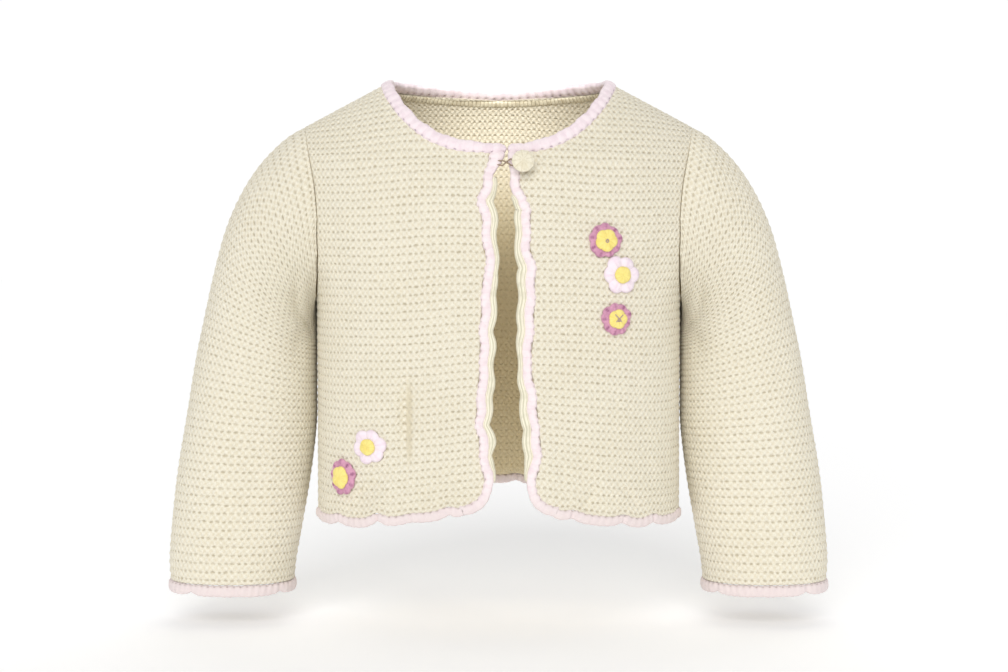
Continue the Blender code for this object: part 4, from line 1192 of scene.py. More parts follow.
@dataclass
class Sleeve:
    """A knitted sleeve, from the armhole seam to the cuff."""

    side: int
    node: str

    def armhole(self, share: Array) -> tuple[Array, Array]:
        """Points of the armhole seam and directions out of the cloth, by share of the way round."""
        points, outs = np.zeros((len(share), 3)), np.zeros((len(share), 3))
        for face in Face:
            here = share <= 0.5 if face is Face.FRONT else share > 0.5
            line = armhole_line(face)
            level, up = np.diff(line, axis=0).T
            run = np.concatenate([[0], np.cumsum(np.hypot(level * ARMHOLE_LEVEL_SHARE, up))])
            part = 1 - share[here] * 2 if face is Face.FRONT else share[here] * 2 - 1
            along = np.interp(part * run[-1], run, line[:, 0])
            height = np.interp(part * run[-1], run, line[:, 1])
            points[here] = FORMS[face].point(along, height)
            outs[here] = FORMS[face].normal(along, height)
        points[0] = points[-1] = (points[0] + points[-1]) / 2
        outs[0] = outs[-1] = unit(outs[0] + outs[-1])
        return points, outs

    def ring(self, place: Array, share: Array) -> Array:
        """Points of the sleeve's own rings."""
        sizes = Ring(*(through(column, place) for column in zip(*RINGS)))
        angle = 2 * math.pi * share
        across = squared(np.cos(angle), 2 / RING_POWER)
        deep = squared(np.sin(angle), 2 / RING_POWER)
        x = (sizes.outer_x + sizes.inner_x) / 2 + (sizes.outer_x - sizes.inner_x) / 2 * across
        z = (sizes.outer_z + sizes.inner_z) / 2 + (sizes.outer_z - sizes.inner_z) / 2 * across
        return np.stack([x, -sizes.half_depth * deep, z], axis=-1)

    def surface(self, place: Array, share: Array) -> Array:
        """Points of the sleeve's outer form.

        Args:
            place: places between the rings, one for each row.
            share: shares of the way round, one for each column.

        Returns:
            A grid of points.
        """
        rows, columns = np.meshgrid(place, share, indexing="ij")
        points = self.ring(rows, columns)
        seam, outs = self.armhole(share)
        shift = seam + outs * SEAM - self.ring(np.zeros_like(share), share)
        fade = np.maximum(0.0, 1 - rows / ARMHOLE_FADE) ** 2
        return points + shift[None] * fade[..., None]

    def even_shares(self, count: int) -> Array:
        """Shares that part the sleeve's middle ring evenly."""
        share = np.linspace(0, 1, 721)
        run = run_along(self.ring(np.full_like(share, MIDDLE_RING), share))
        return np.interp(np.linspace(0, run[-1], count + 1), run, share)

    def even_places(self) -> Array:
        """Places of the rows, even along the outer side."""
        place = np.linspace(0, len(RINGS) - 1, 600)
        run = run_along(self.ring(place, np.zeros_like(place)))
        ridges = round(run[-1] / SLEEVE_RIDGE)
        return np.interp(np.linspace(0, run[-1], ridges * RIDGE_CELLS + 1), run, place)

    def outward(self, points: Array) -> Array:
        """Directions out of a grid of points that closes on itself."""
        open_ring = points[:, :-1]
        across = np.roll(open_ring, -1, axis=1) - np.roll(open_ring, 1, axis=1)
        down = np.gradient(open_ring, axis=0)
        out = unit(np.cross(across, down))
        middle = open_ring.mean(axis=1, keepdims=True)
        turned = np.sum(out * (open_ring - middle), axis=-1, keepdims=True)
        out = np.where(np.sign(turned.mean()) < 0, -out, out)
        return np.concatenate([out, out[:, :1]], axis=1)

    def lift(self, place: Array, share: Array, rows: Array, columns: Array) -> Array:
        """How far stitches and folds lift the surface.

        Args:
            place: places between the rings, one for each row.
            share: shares of the way round, one for each column.
            rows: ridge of each grid point.
            columns: stitch of each grid point.

        Returns:
            The lift of each grid point.
        """
        relief = garter_relief(columns % SLEEVE_STITCHES, rows + SLEEVE_NOISE_ROW)
        calm = smooth((rows + 0.01) / HEAD_CALM_ROWS)
        lift = (relief * RELIEF + RELIEF_TOP - RELIEF) * calm - (1 - calm) * HEAD_SINK
        for fold in SLEEVE_FOLDS:
            up = (place[:, None] - fold.place) / fold.half_place
            turn = share[None] - fold.share - fold.lean * (place[:, None] - fold.place)
            turn = (turn + 0.5) % 1.0 - 0.5
            lift = lift - fold.depth * np.exp(-up * up - (turn / fold.half_share) ** 2)
        lift[:, -1] = lift[:, 0]
        return lift

    def build(self) -> bpy.types.Object:
        """Builds and dresses the sleeve."""
        place = self.even_places()
        share = self.even_shares(SLEEVE_STITCHES * STITCH_CELLS)
        points = self.surface(place, share)
        outs = self.outward(points)
        stitch = np.arange(len(share)) / STITCH_CELLS
        ridge = np.arange(len(place)) / RIDGE_CELLS
        rows, columns = np.meshgrid(ridge, stitch, indexing="ij")
        outer = points + outs * self.lift(place, share, rows, columns)[..., None]
        few = (slice(None, None, RIDGE_CELLS), slice(None, None, STITCH_CELLS))
        inner = points[few] - outs[few] * KNIT_WALL
        places = np.stack([columns, rows], axis=-1)
        turned = self.side < 0
        if turned:
            outer, inner = outer * MIRRORED, inner * MIRRORED
        stack = MeshStack()
        fine = stack.add_points(outer, places)
        coarse = stack.add_points(inner, places[few] + INSIDE)
        stack.add_quads(fine, turned)
        stack.add_quads(coarse, not turned)
        stack.add_rim(fine[0], coarse[0], not turned)
        stack.add_rim(fine[-1], coarse[-1], turned)
        name = "knit_" + self.node
        item = link_mesh(name, stack.mesh(name))
        finish_piece(item, CREAM, [self.node])
        return item


@functools.lru_cache(maxsize=None)
def crochet_group() -> bpy.types.NodeTree:
    """Masks of crochet for painted shade in the hole at the foot of each stitch and in the dips
    between its posts, and the strands' relief.
    """
    group, draw, start, end = effect_group(
        "crochet_stitch",
        {"Stitches": "Vector", "Hole Place": "Float", "Inner Place": "Float"},
        {"Hole": "Float", "Dip": "Float", "Relief": "Float"},
    )
    parts = draw.node("SeparateXYZ", None, Vector=start.outputs["Stitches"])
    across, turn = parts.outputs[0], parts.outputs[1]
    cell = draw.node("CombineXYZ", None, X=draw.math("FLOOR", across))
    chance = draw.node("TexWhiteNoise", {"noise_dimensions": "2D"}, Vector=cell.outputs[0])
    side = draw.math("SUBTRACT", draw.math("FRACT", across), 0.5)
    from_foot = draw.math("ABSOLUTE", draw.math("SUBTRACT", turn, 0.5))
    change = draw.math("SUBTRACT", start.outputs["Inner Place"], start.outputs["Hole Place"])
    inside = draw.math("GREATER_THAN", turn, 0.5)
    spot = draw.math("MULTIPLY_ADD", inside, change, start.outputs["Hole Place"])
    rise = draw.math("SUBTRACT", draw.math("SUBTRACT", 0.5, from_foot), spot)
    wide = draw.math("POWER", draw.math("DIVIDE", side, 0.20), 2.0)
    tall = draw.math("POWER", draw.math("DIVIDE", rise, 0.045), 2.0)
    # Where the holes lie; they take painted shade
    hole = draw.ramp(draw.math("SQRT", draw.math("ADD", wide, tall)), 1.3, 0.3)
    strength = draw.math("MULTIPLY_ADD", chance.outputs["Value"], 0.7, 0.3)
    draw.feed(end.inputs["Hole"], draw.math("MULTIPLY", hole, strength))
    # The dips between the posts, which take painted shade
    draw.feed(end.inputs["Dip"], draw.ramp(draw.math("ABSOLUTE", side), 0.16, 0.0))
    strand = draw.node("Mapping", None, Vector=start.outputs["Stitches"])
    strand.inputs["Scale"].default_value = (5.0, 26.0, 1.0)
    strand.inputs["Rotation"].default_value = (0.0, 0.0, 0.5)
    fine = draw.node(
        "TexNoise", {"noise_dimensions": "2D"}, Vector=strand.outputs[0], Scale=1.0, Detail=3.0
    )
    draw.feed(end.inputs["Relief"], fine.outputs[0])
    return group


@dataclass(frozen=True)
class CrochetFinish(Finish):
    """Crochet stitches, with painted shade in the holes at their feet and in the dips between their
    posts, and, where asked, painted shade on the bands lowest down.
    """

    # Painted shade in the holes, where the holes lie outside and inside, and how much of it they
    # take
    hole: Colour = (0.48, 0.37, 0.35)
    hole_place: float = 0.41
    inner_place: float = 0.41
    hole_shade_share: float = 0.75
    # How much painted shade the dips between the posts take
    dip: float = 0.45
    # Painted shade on the bands lowest down, and how much of it they take
    low_painted_shade: Colour = (0.79, 0.69, 0.67)
    low_shade_share: float = 0.0

    def paint(self, draw: Shading, shader: bpy.types.Node) -> None:
        """Wires the colour and the relief of crochet."""
        stitches = draw.node("UVMap", {"uv_map": "stitches"}).outputs[0]
        marks = draw.node("Group", {"node_tree": crochet_group()}, Stitches=stitches)
        marks.inputs["Hole Place"].default_value = self.hole_place
        marks.inputs["Inner Place"].default_value = self.inner_place
        place = draw.node("TexCoord").outputs["Object"]
        cloud = draw.node("TexNoise", None, Vector=place, Scale=260.0, Detail=2.0)
        uneven = draw.math("MULTIPLY_ADD", cloud.outputs[0], 1.4, 0.3)
        height = draw.node("SeparateXYZ", None, Vector=place).outputs[2]
        tone = (*self.colour, 1.0)
        # Random cloudy tone, then painted shade in the dips between the posts, on the bands lowest
        # down and in the holes
        for mask, share, colour in (
            (draw.ramp(cloud.outputs[0], 0.42, 0.68), 0.45, self.deep),
            (draw.math("MULTIPLY", marks.outputs["Dip"], uneven), self.dip, self.deep),
            (draw.ramp(height, -0.215, -0.235), self.low_shade_share, self.low_painted_shade),
            (marks.outputs["Hole"], self.hole_shade_share, self.hole),
        ):
            tone = draw.tinted(tone, mask, share, colour)
        draw.feed(shader.inputs["Base Color"], tone)
        bump = draw.node(
            "Bump", None, Height=marks.outputs["Relief"], Strength=0.35, Distance=0.0005
        )
        draw.feed(shader.inputs["Normal"], bump.outputs[0])


@dataclass(frozen=True)
class StripFinish(Finish):
    """Yarns that run lengthwise, with grey-green painted shade in the grooves between them."""

    def paint(self, draw: Shading, shader: bpy.types.Node) -> None:
        """Wires the colour and the relief of the lengthwise yarns."""
        stitches = draw.node("UVMap", {"uv_map": "stitches"}).outputs[0]
        turn = draw.node("SeparateXYZ", None, Vector=stitches).outputs[1]
        place = draw.node("TexCoord").outputs["Object"]
        cloud = draw.node("TexNoise", None, Vector=place, Scale=220.0, Detail=2.0)
        wander = draw.math("MULTIPLY_ADD", cloud.outputs[0], 0.03, turn)
        wave = draw.math("COSINE", draw.math("MULTIPLY", wander, 20 * math.pi))
        cloudy = draw.ramp(cloud.outputs[0], 0.45, 0.7)
        tone = draw.tinted((*self.colour, 1.0), cloudy, 0.3, self.deep)
        # Painted shade in the grooves between the yarns, where the strip's relief sinks
        tone = draw.tinted(tone, draw.ramp(wave, 0.1, -1.0), 0.75, self.deep)
        draw.feed(shader.inputs["Base Color"], tone)
        fibre = draw.node("TexNoise", None, Vector=place, Scale=1500.0, Detail=2.0)
        bump = draw.node("Bump", None, Height=fibre.outputs[0], Strength=0.4, Distance=0.0003)
        draw.feed(shader.inputs["Normal"], bump.outputs[0])


# The pink bands take painted shade lowest down, along the hems and round the cuffs
PINK = CrochetFinish(
    "pink_crochet", "pink_edging", (0.925, 0.815, 0.825), (0.82, 0.66, 0.70),
    dip=0.30, low_shade_share=0.75,
)
NECK_PINK = CrochetFinish(
    "pink_neck_crochet", "pink_edging", (0.915, 0.80, 0.825), (0.80, 0.64, 0.70),
    hole=(0.40, 0.30, 0.38), inner_place=0.33, hole_shade_share=0.8, dip=0.25,
)
# Strong painted shade between the upright stitches of the pickup row
NECK_ROW = CrochetFinish(
    "neck_row_yarn", "cream_knit", (0.86, 0.79, 0.60), (0.42, 0.34, 0.20), hole_shade_share=0.0, dip=0.8
)
SEAM_YARN = Finish("seam_yarn", "cream_knit", (0.84, 0.76, 0.59), (0.66, 0.55, 0.36))
STRIP = StripFinish("cream_strip_yarn", "cream_strip", (0.90, 0.85, 0.69), (0.56, 0.53, 0.38))
MAUVE = CrochetFinish(
    "mauve_crochet", "mauve_petals", (0.70, 0.36, 0.50), (0.46, 0.19, 0.31),
    hole=(0.30, 0.10, 0.20), hole_place=0.47, inner_place=0.47, hole_shade_share=0.8,
)
PALE = CrochetFinish(
    "pale_pink_crochet", "pale_petals", (0.93, 0.82, 0.88), (0.84, 0.68, 0.78), hole_shade_share=0.0
)
YELLOW = CrochetFinish(
    "yellow_crochet", "yellow_centres", (0.95, 0.81, 0.27), (0.86, 0.67, 0.16), hole_shade_share=0.0
)
BUTTON_YARN = CrochetFinish(
    "cream_button_crochet", "button", (0.88, 0.82, 0.66), (0.72, 0.64, 0.45),
    hole=(0.45, 0.38, 0.24), hole_shade_share=0.5,
)
THREAD = Finish("brown_thread", "thread", (0.36, 0.27, 0.19), (0.22, 0.15, 0.10))
KNOT = Finish("grey_pink_thread", "thread", (0.50, 0.36, 0.33), (0.34, 0.27, 0.24))


def shaped_grid(name: str, points: Array, places: Array) -> bpy.types.Object:
    """Bends a plain grid over points, closes it where they meet and fills its open ends.

    Args:
        name: the piece's name.
        points: a grid of points, its last row and column included.
        places: the stitch places of the points.

    Returns:
        The closed piece, its faces outwards.
    """
    rows, columns = points.shape[:2]
    bpy.ops.object.select_all(action="DESELECT")
    bpy.ops.mesh.primitive_grid_add(x_subdivisions=columns - 1, y_subdivisions=rows - 1, size=1)
    item = bpy.context.object
    item.name = name
    mesh = item.data
    mesh.name = name
    mesh.vertices.foreach_set("co", points.astype(np.float32).ravel())
    corners = np.zeros(len(mesh.loops), dtype=np.int32)
    mesh.loops.foreach_get("vertex_index", corners)
    layer = mesh.uv_layers.active
    layer.name = "stitches"
    layer.data.foreach_set("uv", places.reshape(-1, 2)[corners].astype(np.float32).ravel())
    bpy.ops.object.mode_set(mode="EDIT")
    bpy.ops.mesh.select_all(action="SELECT")
    bpy.ops.mesh.remove_doubles(threshold=1e-6)
    bpy.ops.mesh.select_all(action="DESELECT")
    bpy.ops.mesh.select_non_manifold(extend=False, use_multi_face=False, use_verts=False)
    if mesh.total_edge_sel:
        bpy.ops.mesh.fill_holes(sides=0)
    bpy.ops.mesh.select_all(action="SELECT")
    bpy.ops.mesh.normals_make_consistent(inside=False)
    bpy.ops.object.mode_set(mode="OBJECT")
    bpy.ops.object.shade_smooth()
    item.select_set(False)
    return item


@dataclass
class EdgeLine:
    """A line along an edge, with directions out of the cloth and across the edge."""

    points: Array
    outs: Array
    away: Array
    step: float = 0.0007

    def __post_init__(self) -> None:
        """Sets the points evenly and works out the frames."""
        run = run_along(self.points)
        even = np.linspace(0, run[-1], max(8, round(run[-1] / self.step)) + 1)
        for key in ("points", "outs", "away"):
            table = getattr(self, key)
            read = [np.interp(even, run, table[:, k]) for k in range(3)]
            setattr(self, key, np.stack(read, axis=1))
        along = unit(np.gradient(self.points, axis=0))
        self.outs = unit(self.outs - along * np.sum(self.outs * along, axis=1, keepdims=True))
        across = np.cross(along, self.outs)
        turned = np.sum(across * self.away, axis=1, keepdims=True) < 0
        self.across = np.where(turned, -across, across)
        self.run = run_along(self.points)


def crochet_relief(stitch: Array, turn: Array, depth: float, finish: CrochetFinish) -> Array:
    """Relief of a crochet band: posts across it, a chain along its rim and a hole at each foot.

    Args:
        stitch: place along the band, whole at the middle of a post.
        turn: share of the way round the section, 0 at the rim and 0.5 at the knitting.
        depth: how high the posts stand.
        finish: the finish, which says where the holes are.

    Returns:
        How far the surface stands out.
    """
    chance = through(UNEVEN[:, 5], (stitch + 0.5) % (NOISE_SIZE - 2.0))
    near_rim = np.abs((turn + 0.5) % 1.0 - 0.5)
    lean = 0.22 * np.cos(2 * math.pi * turn)
    post = np.cos(math.pi * (stitch + lean)) ** 2
    chain = np.abs(np.cos(math.pi * (stitch - 3.2 * near_rim + 0.2))) ** 0.7
    rim = np.exp(-((near_rim / 0.10) ** 2))
    groove = np.exp(-(((near_rim - 0.17) / 0.025) ** 2))
    foot = (stitch - 0.5) - np.round(stitch - 0.5)
    place = np.abs(near_rim - np.where(turn > 0.5, finish.inner_place, finish.hole_place))
    hole = np.exp(-((foot / 0.17) ** 2) - (place / 0.035) ** 2)
    shape = post * (1 - rim) + (0.25 + chain) * rim
    return depth * (shape - 1.0 - 0.35 * groove - 2.0 * hole + 0.8 * (chance - 0.5))


@dataclass
class CrochetBand:
    """A band of crochet along an edge of the knitting."""

    name: str
    node: str
    line: EdgeLine
    widths: Array
    low: float = -WALL
    high: float = 0.0013
    closed: bool = False
    pitch: float = 0.0038
    relief: float = 0.00036
    start: Array | float = SEAM
    pinch: Array | float = 0.0
    sides: int = 28
    finish: Finish = PINK
    stands_for: bool = True

    def build(self) -> bpy.types.Object:
        """Builds and dresses the band."""
        line, turn = self.line, np.linspace(0, 1, self.sides + 1)
        whole = line.run[-1] / self.pitch
        stitch = line.run / self.pitch * (round(whole) / whole if self.closed else 1.0)
        angle = 2 * math.pi * turn
        flat = squared(np.cos(angle), BAND_POWER)
        tall = squared(np.sin(angle), BAND_POWER)
        tip = self.end_shares()[:, None]
        grown = self.grown(stitch[:, None], turn[None])
        half_width = self.widths[:, None] / 2 * tip + grown
        half_height = (self.high - self.low) / 2 * (0.35 + 0.65 * tip) + grown
        half_height = half_height - np.broadcast_to(self.pinch, self.widths.shape)[:, None]
        middle = np.broadcast_to(self.start + self.widths / 2, self.widths.shape)[:, None]
        across = middle + half_width * flat
        out = (self.high + self.low) / 2 + half_height * tall
        points = (
            line.points[:, None]
            + line.across[:, None] * across[..., None]
            + line.outs[:, None] * out[..., None]
        )
        if self.closed:
            points[-1] = points[0]
        places = np.stack(np.broadcast_arrays(stitch[:, None], turn[None]), axis=-1)
        item = shaped_grid(self.name, points, places)
        return finish_piece(item, self.finish, [self.node] if self.stands_for else [])

    def grown(self, stitch: Array, turn: Array) -> Array:
        """How far the stitches stand out of the plain section."""
        return crochet_relief(stitch, turn, self.relief, self.finish)

    def end_shares(self) -> Array:
        """How full the section is along the band, rounded off at its ends."""
        if self.closed:
            return np.ones_like(self.line.run)
        near = np.minimum(self.line.run, self.line.run[-1] - self.line.run)
        share = np.clip(near / (float(np.max(self.widths)) * 0.45), 0.0, 1.0)
        return np.sqrt(np.maximum(1 - (1 - share) ** 2, 0.02))


@dataclass
class YarnStrip(CrochetBand):
    """The cream strip outside a front's band, with the lines of its yarns lengthwise."""

    def grown(self, stitch: Array, turn: Array) -> Array:
        """The lengthwise yarns."""
        lines = np.abs(np.cos(2 * math.pi * (turn * 5.0 + 0.02 * np.sin(stitch))))
        return 0.00030 * (lines**0.6 - 1.0) + 0.00010 * np.sin(stitch * 2.2)


@dataclass
class PickupRow(CrochetBand):
    """The short upright stitches under the neck band, on the inner side of the back."""

    def grown(self, stitch: Array, turn: Array) -> Array:
        """The upright stitches."""
        return 0.0005 * (np.abs(np.cos(math.pi * stitch)) ** 0.8 - 1.0)


def laid(face: Face, along: Array, height: Array) -> tuple[Array, Array]:
    """Points of the body's surface and directions out of it."""
    return FORMS[face].point(along, height), FORMS[face].normal(along, height)


def hem_scallops(face: Face, along: Array) -> tuple[Array, Array]:
    """Width of the hem's band and how sharply it is pinched between its scallops."""
    width, pinch = np.full_like(along, HEM_BAND_WIDTH), np.zeros_like(along)
    for notch in HEM_NOTCHES[face]:
        away = along - notch.place
        width -= 0.35 * notch.depth * np.exp(-((away / notch.half_width) ** 2))
        pinch += notch.depth / FULL_PINCH * np.exp(-((away / PINCH_REACH) ** 2))
    return width, pinch


@dataclass
class FrontTrim:
    """The pink band down a front's edge and along its hem, and the cream strip beside it."""

    side: int
    name: str
    outline: Outline = field(init=False)

    def __post_init__(self) -> None:
        """Works out the front's outline."""
        self.outline = Outline(Face.FRONT, self.side)

    def path(self) -> tuple[Array, Array]:
        """Arc and height down the front edge, round its corner and along the hem."""
        outline, side = self.outline, self.side
        down = np.linspace(outline.neck_height, outline.foot, 200)
        turn = np.linspace(math.pi / 2, 0, 24)[1:]
        corner = abs(FRONT_EDGES[side][-1].band_x) + CORNER_RADIUS * (1 - np.sin(turn))
        corner_up = outline.foot - CORNER_RADIUS * np.cos(turn)
        level = np.linspace(corner[-1], float(outline.right(np.zeros(1))[0]), 120)[1:]
        along = side * np.concatenate([outline.left(down), corner, level])
        hem_up = hem_height(Face.FRONT, level) + hem_wave(Face.FRONT, side * level)
        height = np.concatenate([down, corner_up, hem_up])
        top = height[:1] + TOP_RISE
        return np.concatenate([along[:1], along]), np.concatenate([top, height])

    def build(self) -> None:
        """Builds the band and the strip."""
        along, height = self.path()
        points, outs = laid(Face.FRONT, along, height)
        round_it = np.clip((self.outline.foot - height) / CORNER_RADIUS, 0, 1)
        away = [-self.side * (1 - round_it), 0 * round_it, -0.02 - round_it]
        line = EdgeLine(points, outs, np.stack(away, axis=1))
        place = np.interp(line.run, run_along(points), along)
        up = np.interp(line.run, run_along(points), height)
        hem, pinch = hem_scallops(Face.FRONT, place)
        share = smooth((self.outline.foot - up) / CORNER_RADIUS)
        widths = BAND_WIDTH + share * (hem - PINCH_NARROWS * pinch - BAND_WIDTH)
        below_top = line.points[0, 2] - line.points[:, 2]
        slant = np.exp(-((below_top / TOP_SLANT_REACH) ** 2))
        widths = widths + TOP_SLANT[self.side] * slant
        wavy = 0.00045 * np.sin(line.run * 370.0) * (1 - share)
        CrochetBand(
            "pink_band_" + self.name, "front_edging_" + self.name, line, widths,
            start=wavy - BAND_LAP + PINCH_DRAWS * share * np.clip(pinch, 0, 1),
            pinch=PINCH_FLATTENS * pinch * share,
        ).build()
        self.build_strip(line, up, widths + wavy)

    def build_strip(self, line: EdgeLine, up: Array, reach: Array) -> None:
        """Builds the cream strip.

        Args:
            line: the line of the pink band.
            up: height along the cloth of its points.
            reach: how far from them the pink band ends.
        """
        rows = FRONT_EDGES[self.side]
        strip = eased([-row.z for row in rows], [row.strip for row in rows], -line.points[:, 2])
        foot = STRIP_FOOT_SHARE + (up - self.outline.foot) / STRIP_FOOT_HEIGHT
        strip = strip * np.clip(foot, STRIP_FOOT_SHARE, 1.0)
        below_top = line.points[0, 2] - line.points[:, 2]
        first = int(np.sum(below_top < STRIP_STARTS[self.side]))
        last = int(np.sum(up >= self.outline.foot - 1e-5))
        centre = line.points + line.across * (reach - STRIP_LAP)[:, None]
        part = slice(first, last)
        edge = EdgeLine(centre[part], line.outs[part], line.across[part])
        wide = np.interp(edge.run, np.linspace(0, edge.run[-1], last - first), strip[part])
        YarnStrip(
            "cream_strip_" + self.name, "front_strip_" + self.name, edge,
            np.maximum(wide + STRIP_SPREAD, STRIP_NARROWEST), low=-0.0024, high=0.0004,
            start=0.0, finish=STRIP, sides=36,
        ).build()


class HemTrim:
    """The scalloped band along the back hem."""

    def build(self) -> None:
        """Builds the band."""
        reach = float(FORMS[Face.BACK].side_length(0.0)) - SEAM / 2
        along = np.linspace(-reach, reach, 400)
        height = hem_height(Face.BACK, along) + hem_wave(Face.BACK, along)
        points, outs = laid(Face.BACK, along, height)
        line = EdgeLine(points, outs, np.tile(DOWN, (len(points), 1)))
        place = np.interp(line.run, run_along(points), along)
        widths, pinch = hem_scallops(Face.BACK, place)
        CrochetBand(
            "pink_band_back_hem", "hem_edging_back", line, widths - PINCH_NARROWS * pinch,
            start=SEAM - PINCH_DRAWS * (1 - np.clip(pinch, 0, 1)),
            pinch=PINCH_FLATTENS * pinch,
        ).build()


class NeckTrim:
    """The pink band round the neck, from one front edge round the back to the other."""

    def half(self, side: int) -> tuple[Array, Array]:
        """Points and directions out of the cloth, from a front edge to the middle of the back."""
        front = neck_line(Face.FRONT, abs(FRONT_EDGES[side][0].band_x))
        place, out = laid(Face.FRONT, side * front[:, 0], front[:, 1])
        tip = place[:1] + np.array([[-side * 1.0, 0.0, 0.0]]) * (BAND_WIDTH + NECK_TIPS[side])
        rear = neck_line(Face.BACK, 0.0)[::-1]
        rear_place, rear_out = laid(Face.BACK, side * rear[:, 0], rear[:, 1])
        line = np.concatenate([tip, place[:-1], rear_place[1:]])
        return line, np.concatenate([out[:1], out[:-1], rear_out[1:]])

    def build(self) -> None:
        """Builds the band and the row under it."""
        right, left = self.half(-1), self.half(1)
        path, normals = (np.concatenate([one, two[::-1][1:]]) for one, two in zip(right, left))
        away = (path.mean(axis=0) - path) * (1, 1, 0) + (0, 0, 0.02)
        line = EdgeLine(path, unit(normals), away)
        near = np.minimum(line.run, line.run[-1] - line.run)
        widths = NECK_BAND_WIDTH * np.clip(0.72 + near * 12.0, 0.72, 1.0)
        widths = widths + 0.0003 * np.sin(line.run * 420.0)
        nape = np.exp(-((line.points[:, 0] / 0.014) ** 2)) * (line.points[:, 1] > 0)
        CrochetBand(
            "pink_band_neck", "neck_edging", line, widths, start=-BAND_LAP - 0.0006 * nape,
            pitch=0.0050, finish=NECK_PINK,
        ).build()
        self.build_pickup_row()

    def build_pickup_row(self) -> None:
        """Builds the upright stitches under the band, inside the back."""
        rear = neck_line(Face.BACK, 0.0)
        along = np.concatenate([-rear[::-1, 0], rear[1:, 0]])
        height = np.concatenate([rear[::-1, 1], rear[1:, 1]])
        points, outs = laid(Face.BACK, along, height)
        line = EdgeLine(points, -outs, np.tile(DOWN, (len(points), 1)), step=0.00055)
        PickupRow(
            "pickup_row_neck", "neck_edging", line, np.full_like(line.run, 0.0042), low=0.0020,
            high=0.0034, start=0.0002, pitch=0.0023, sides=14, finish=NECK_ROW, stands_for=False,
        ).build()


@dataclass
class CuffTrim:
    """The scalloped pink band round a cuff."""

    side: int
    name: str

    def build(self) -> None:
        """Builds the band."""
        sleeve = Sleeve(self.side, "sleeve_" + self.name)
        share = np.linspace(0, 1, 361)
        place = np.array([len(RINGS) - 1.5, len(RINGS) - 1.0])
        surface = sleeve.surface(place, share)
        ring, outs = surface[1], sleeve.outward(surface)[1] * (1, 1, 0)
        if self.side < 0:
            ring, outs = ring * MIRRORED, outs * MIRRORED
        line = EdgeLine(ring, unit(outs), np.tile(DOWN, (len(ring), 1)))
        line.across = np.tile(DOWN, (len(line.run), 1))
        turn = np.interp(line.run, run_along(ring), share)
        gap = np.min([np.abs(turn - notch) for notch in CUFF_NOTCHES], axis=0)
        widths = CUFF_BAND_WIDTH - 0.0012 * np.exp(-((gap / 0.028) ** 2))
        widths = widths - 0.0008 * np.exp(-((gap / 0.009) ** 2))
        CrochetBand(
            "pink_band_cuff_" + self.name, "cuff_edging_" + self.name, line, widths,
            closed=True, pitch=0.0036, pinch=0.0005 * np.exp(-((gap / 0.009) ** 2)),
        ).build()


# The flowers: grid of their discs, number of posts or lobes, and where their centres begin
FLOWER_COLUMNS = 144
FLOWER_RINGS = 15
MAUVE_POSTS = 9
PALE_LOBES = 6
CENTRE_FOOT = SEAM + 0.0020 + SEAM


def rounded_off(share: Array, start: float, width: float) -> Array:
    """How full a disc is, by share of its radius, where its rim is a quarter round."""
    return np.sqrt(np.clip(1 - ((share - start) / width).clip(0, 1) ** 2, 0, 1))


class Petals(Enum):
    """The two kinds of flower."""

    MAUVE_RING = "ring"
    PALE_LOBES = "lobes"


class Knot(Enum):
    """The stitch that holds a flower's centre."""

    NONE = 0
    SQUARE = 1
    CROSS = 2


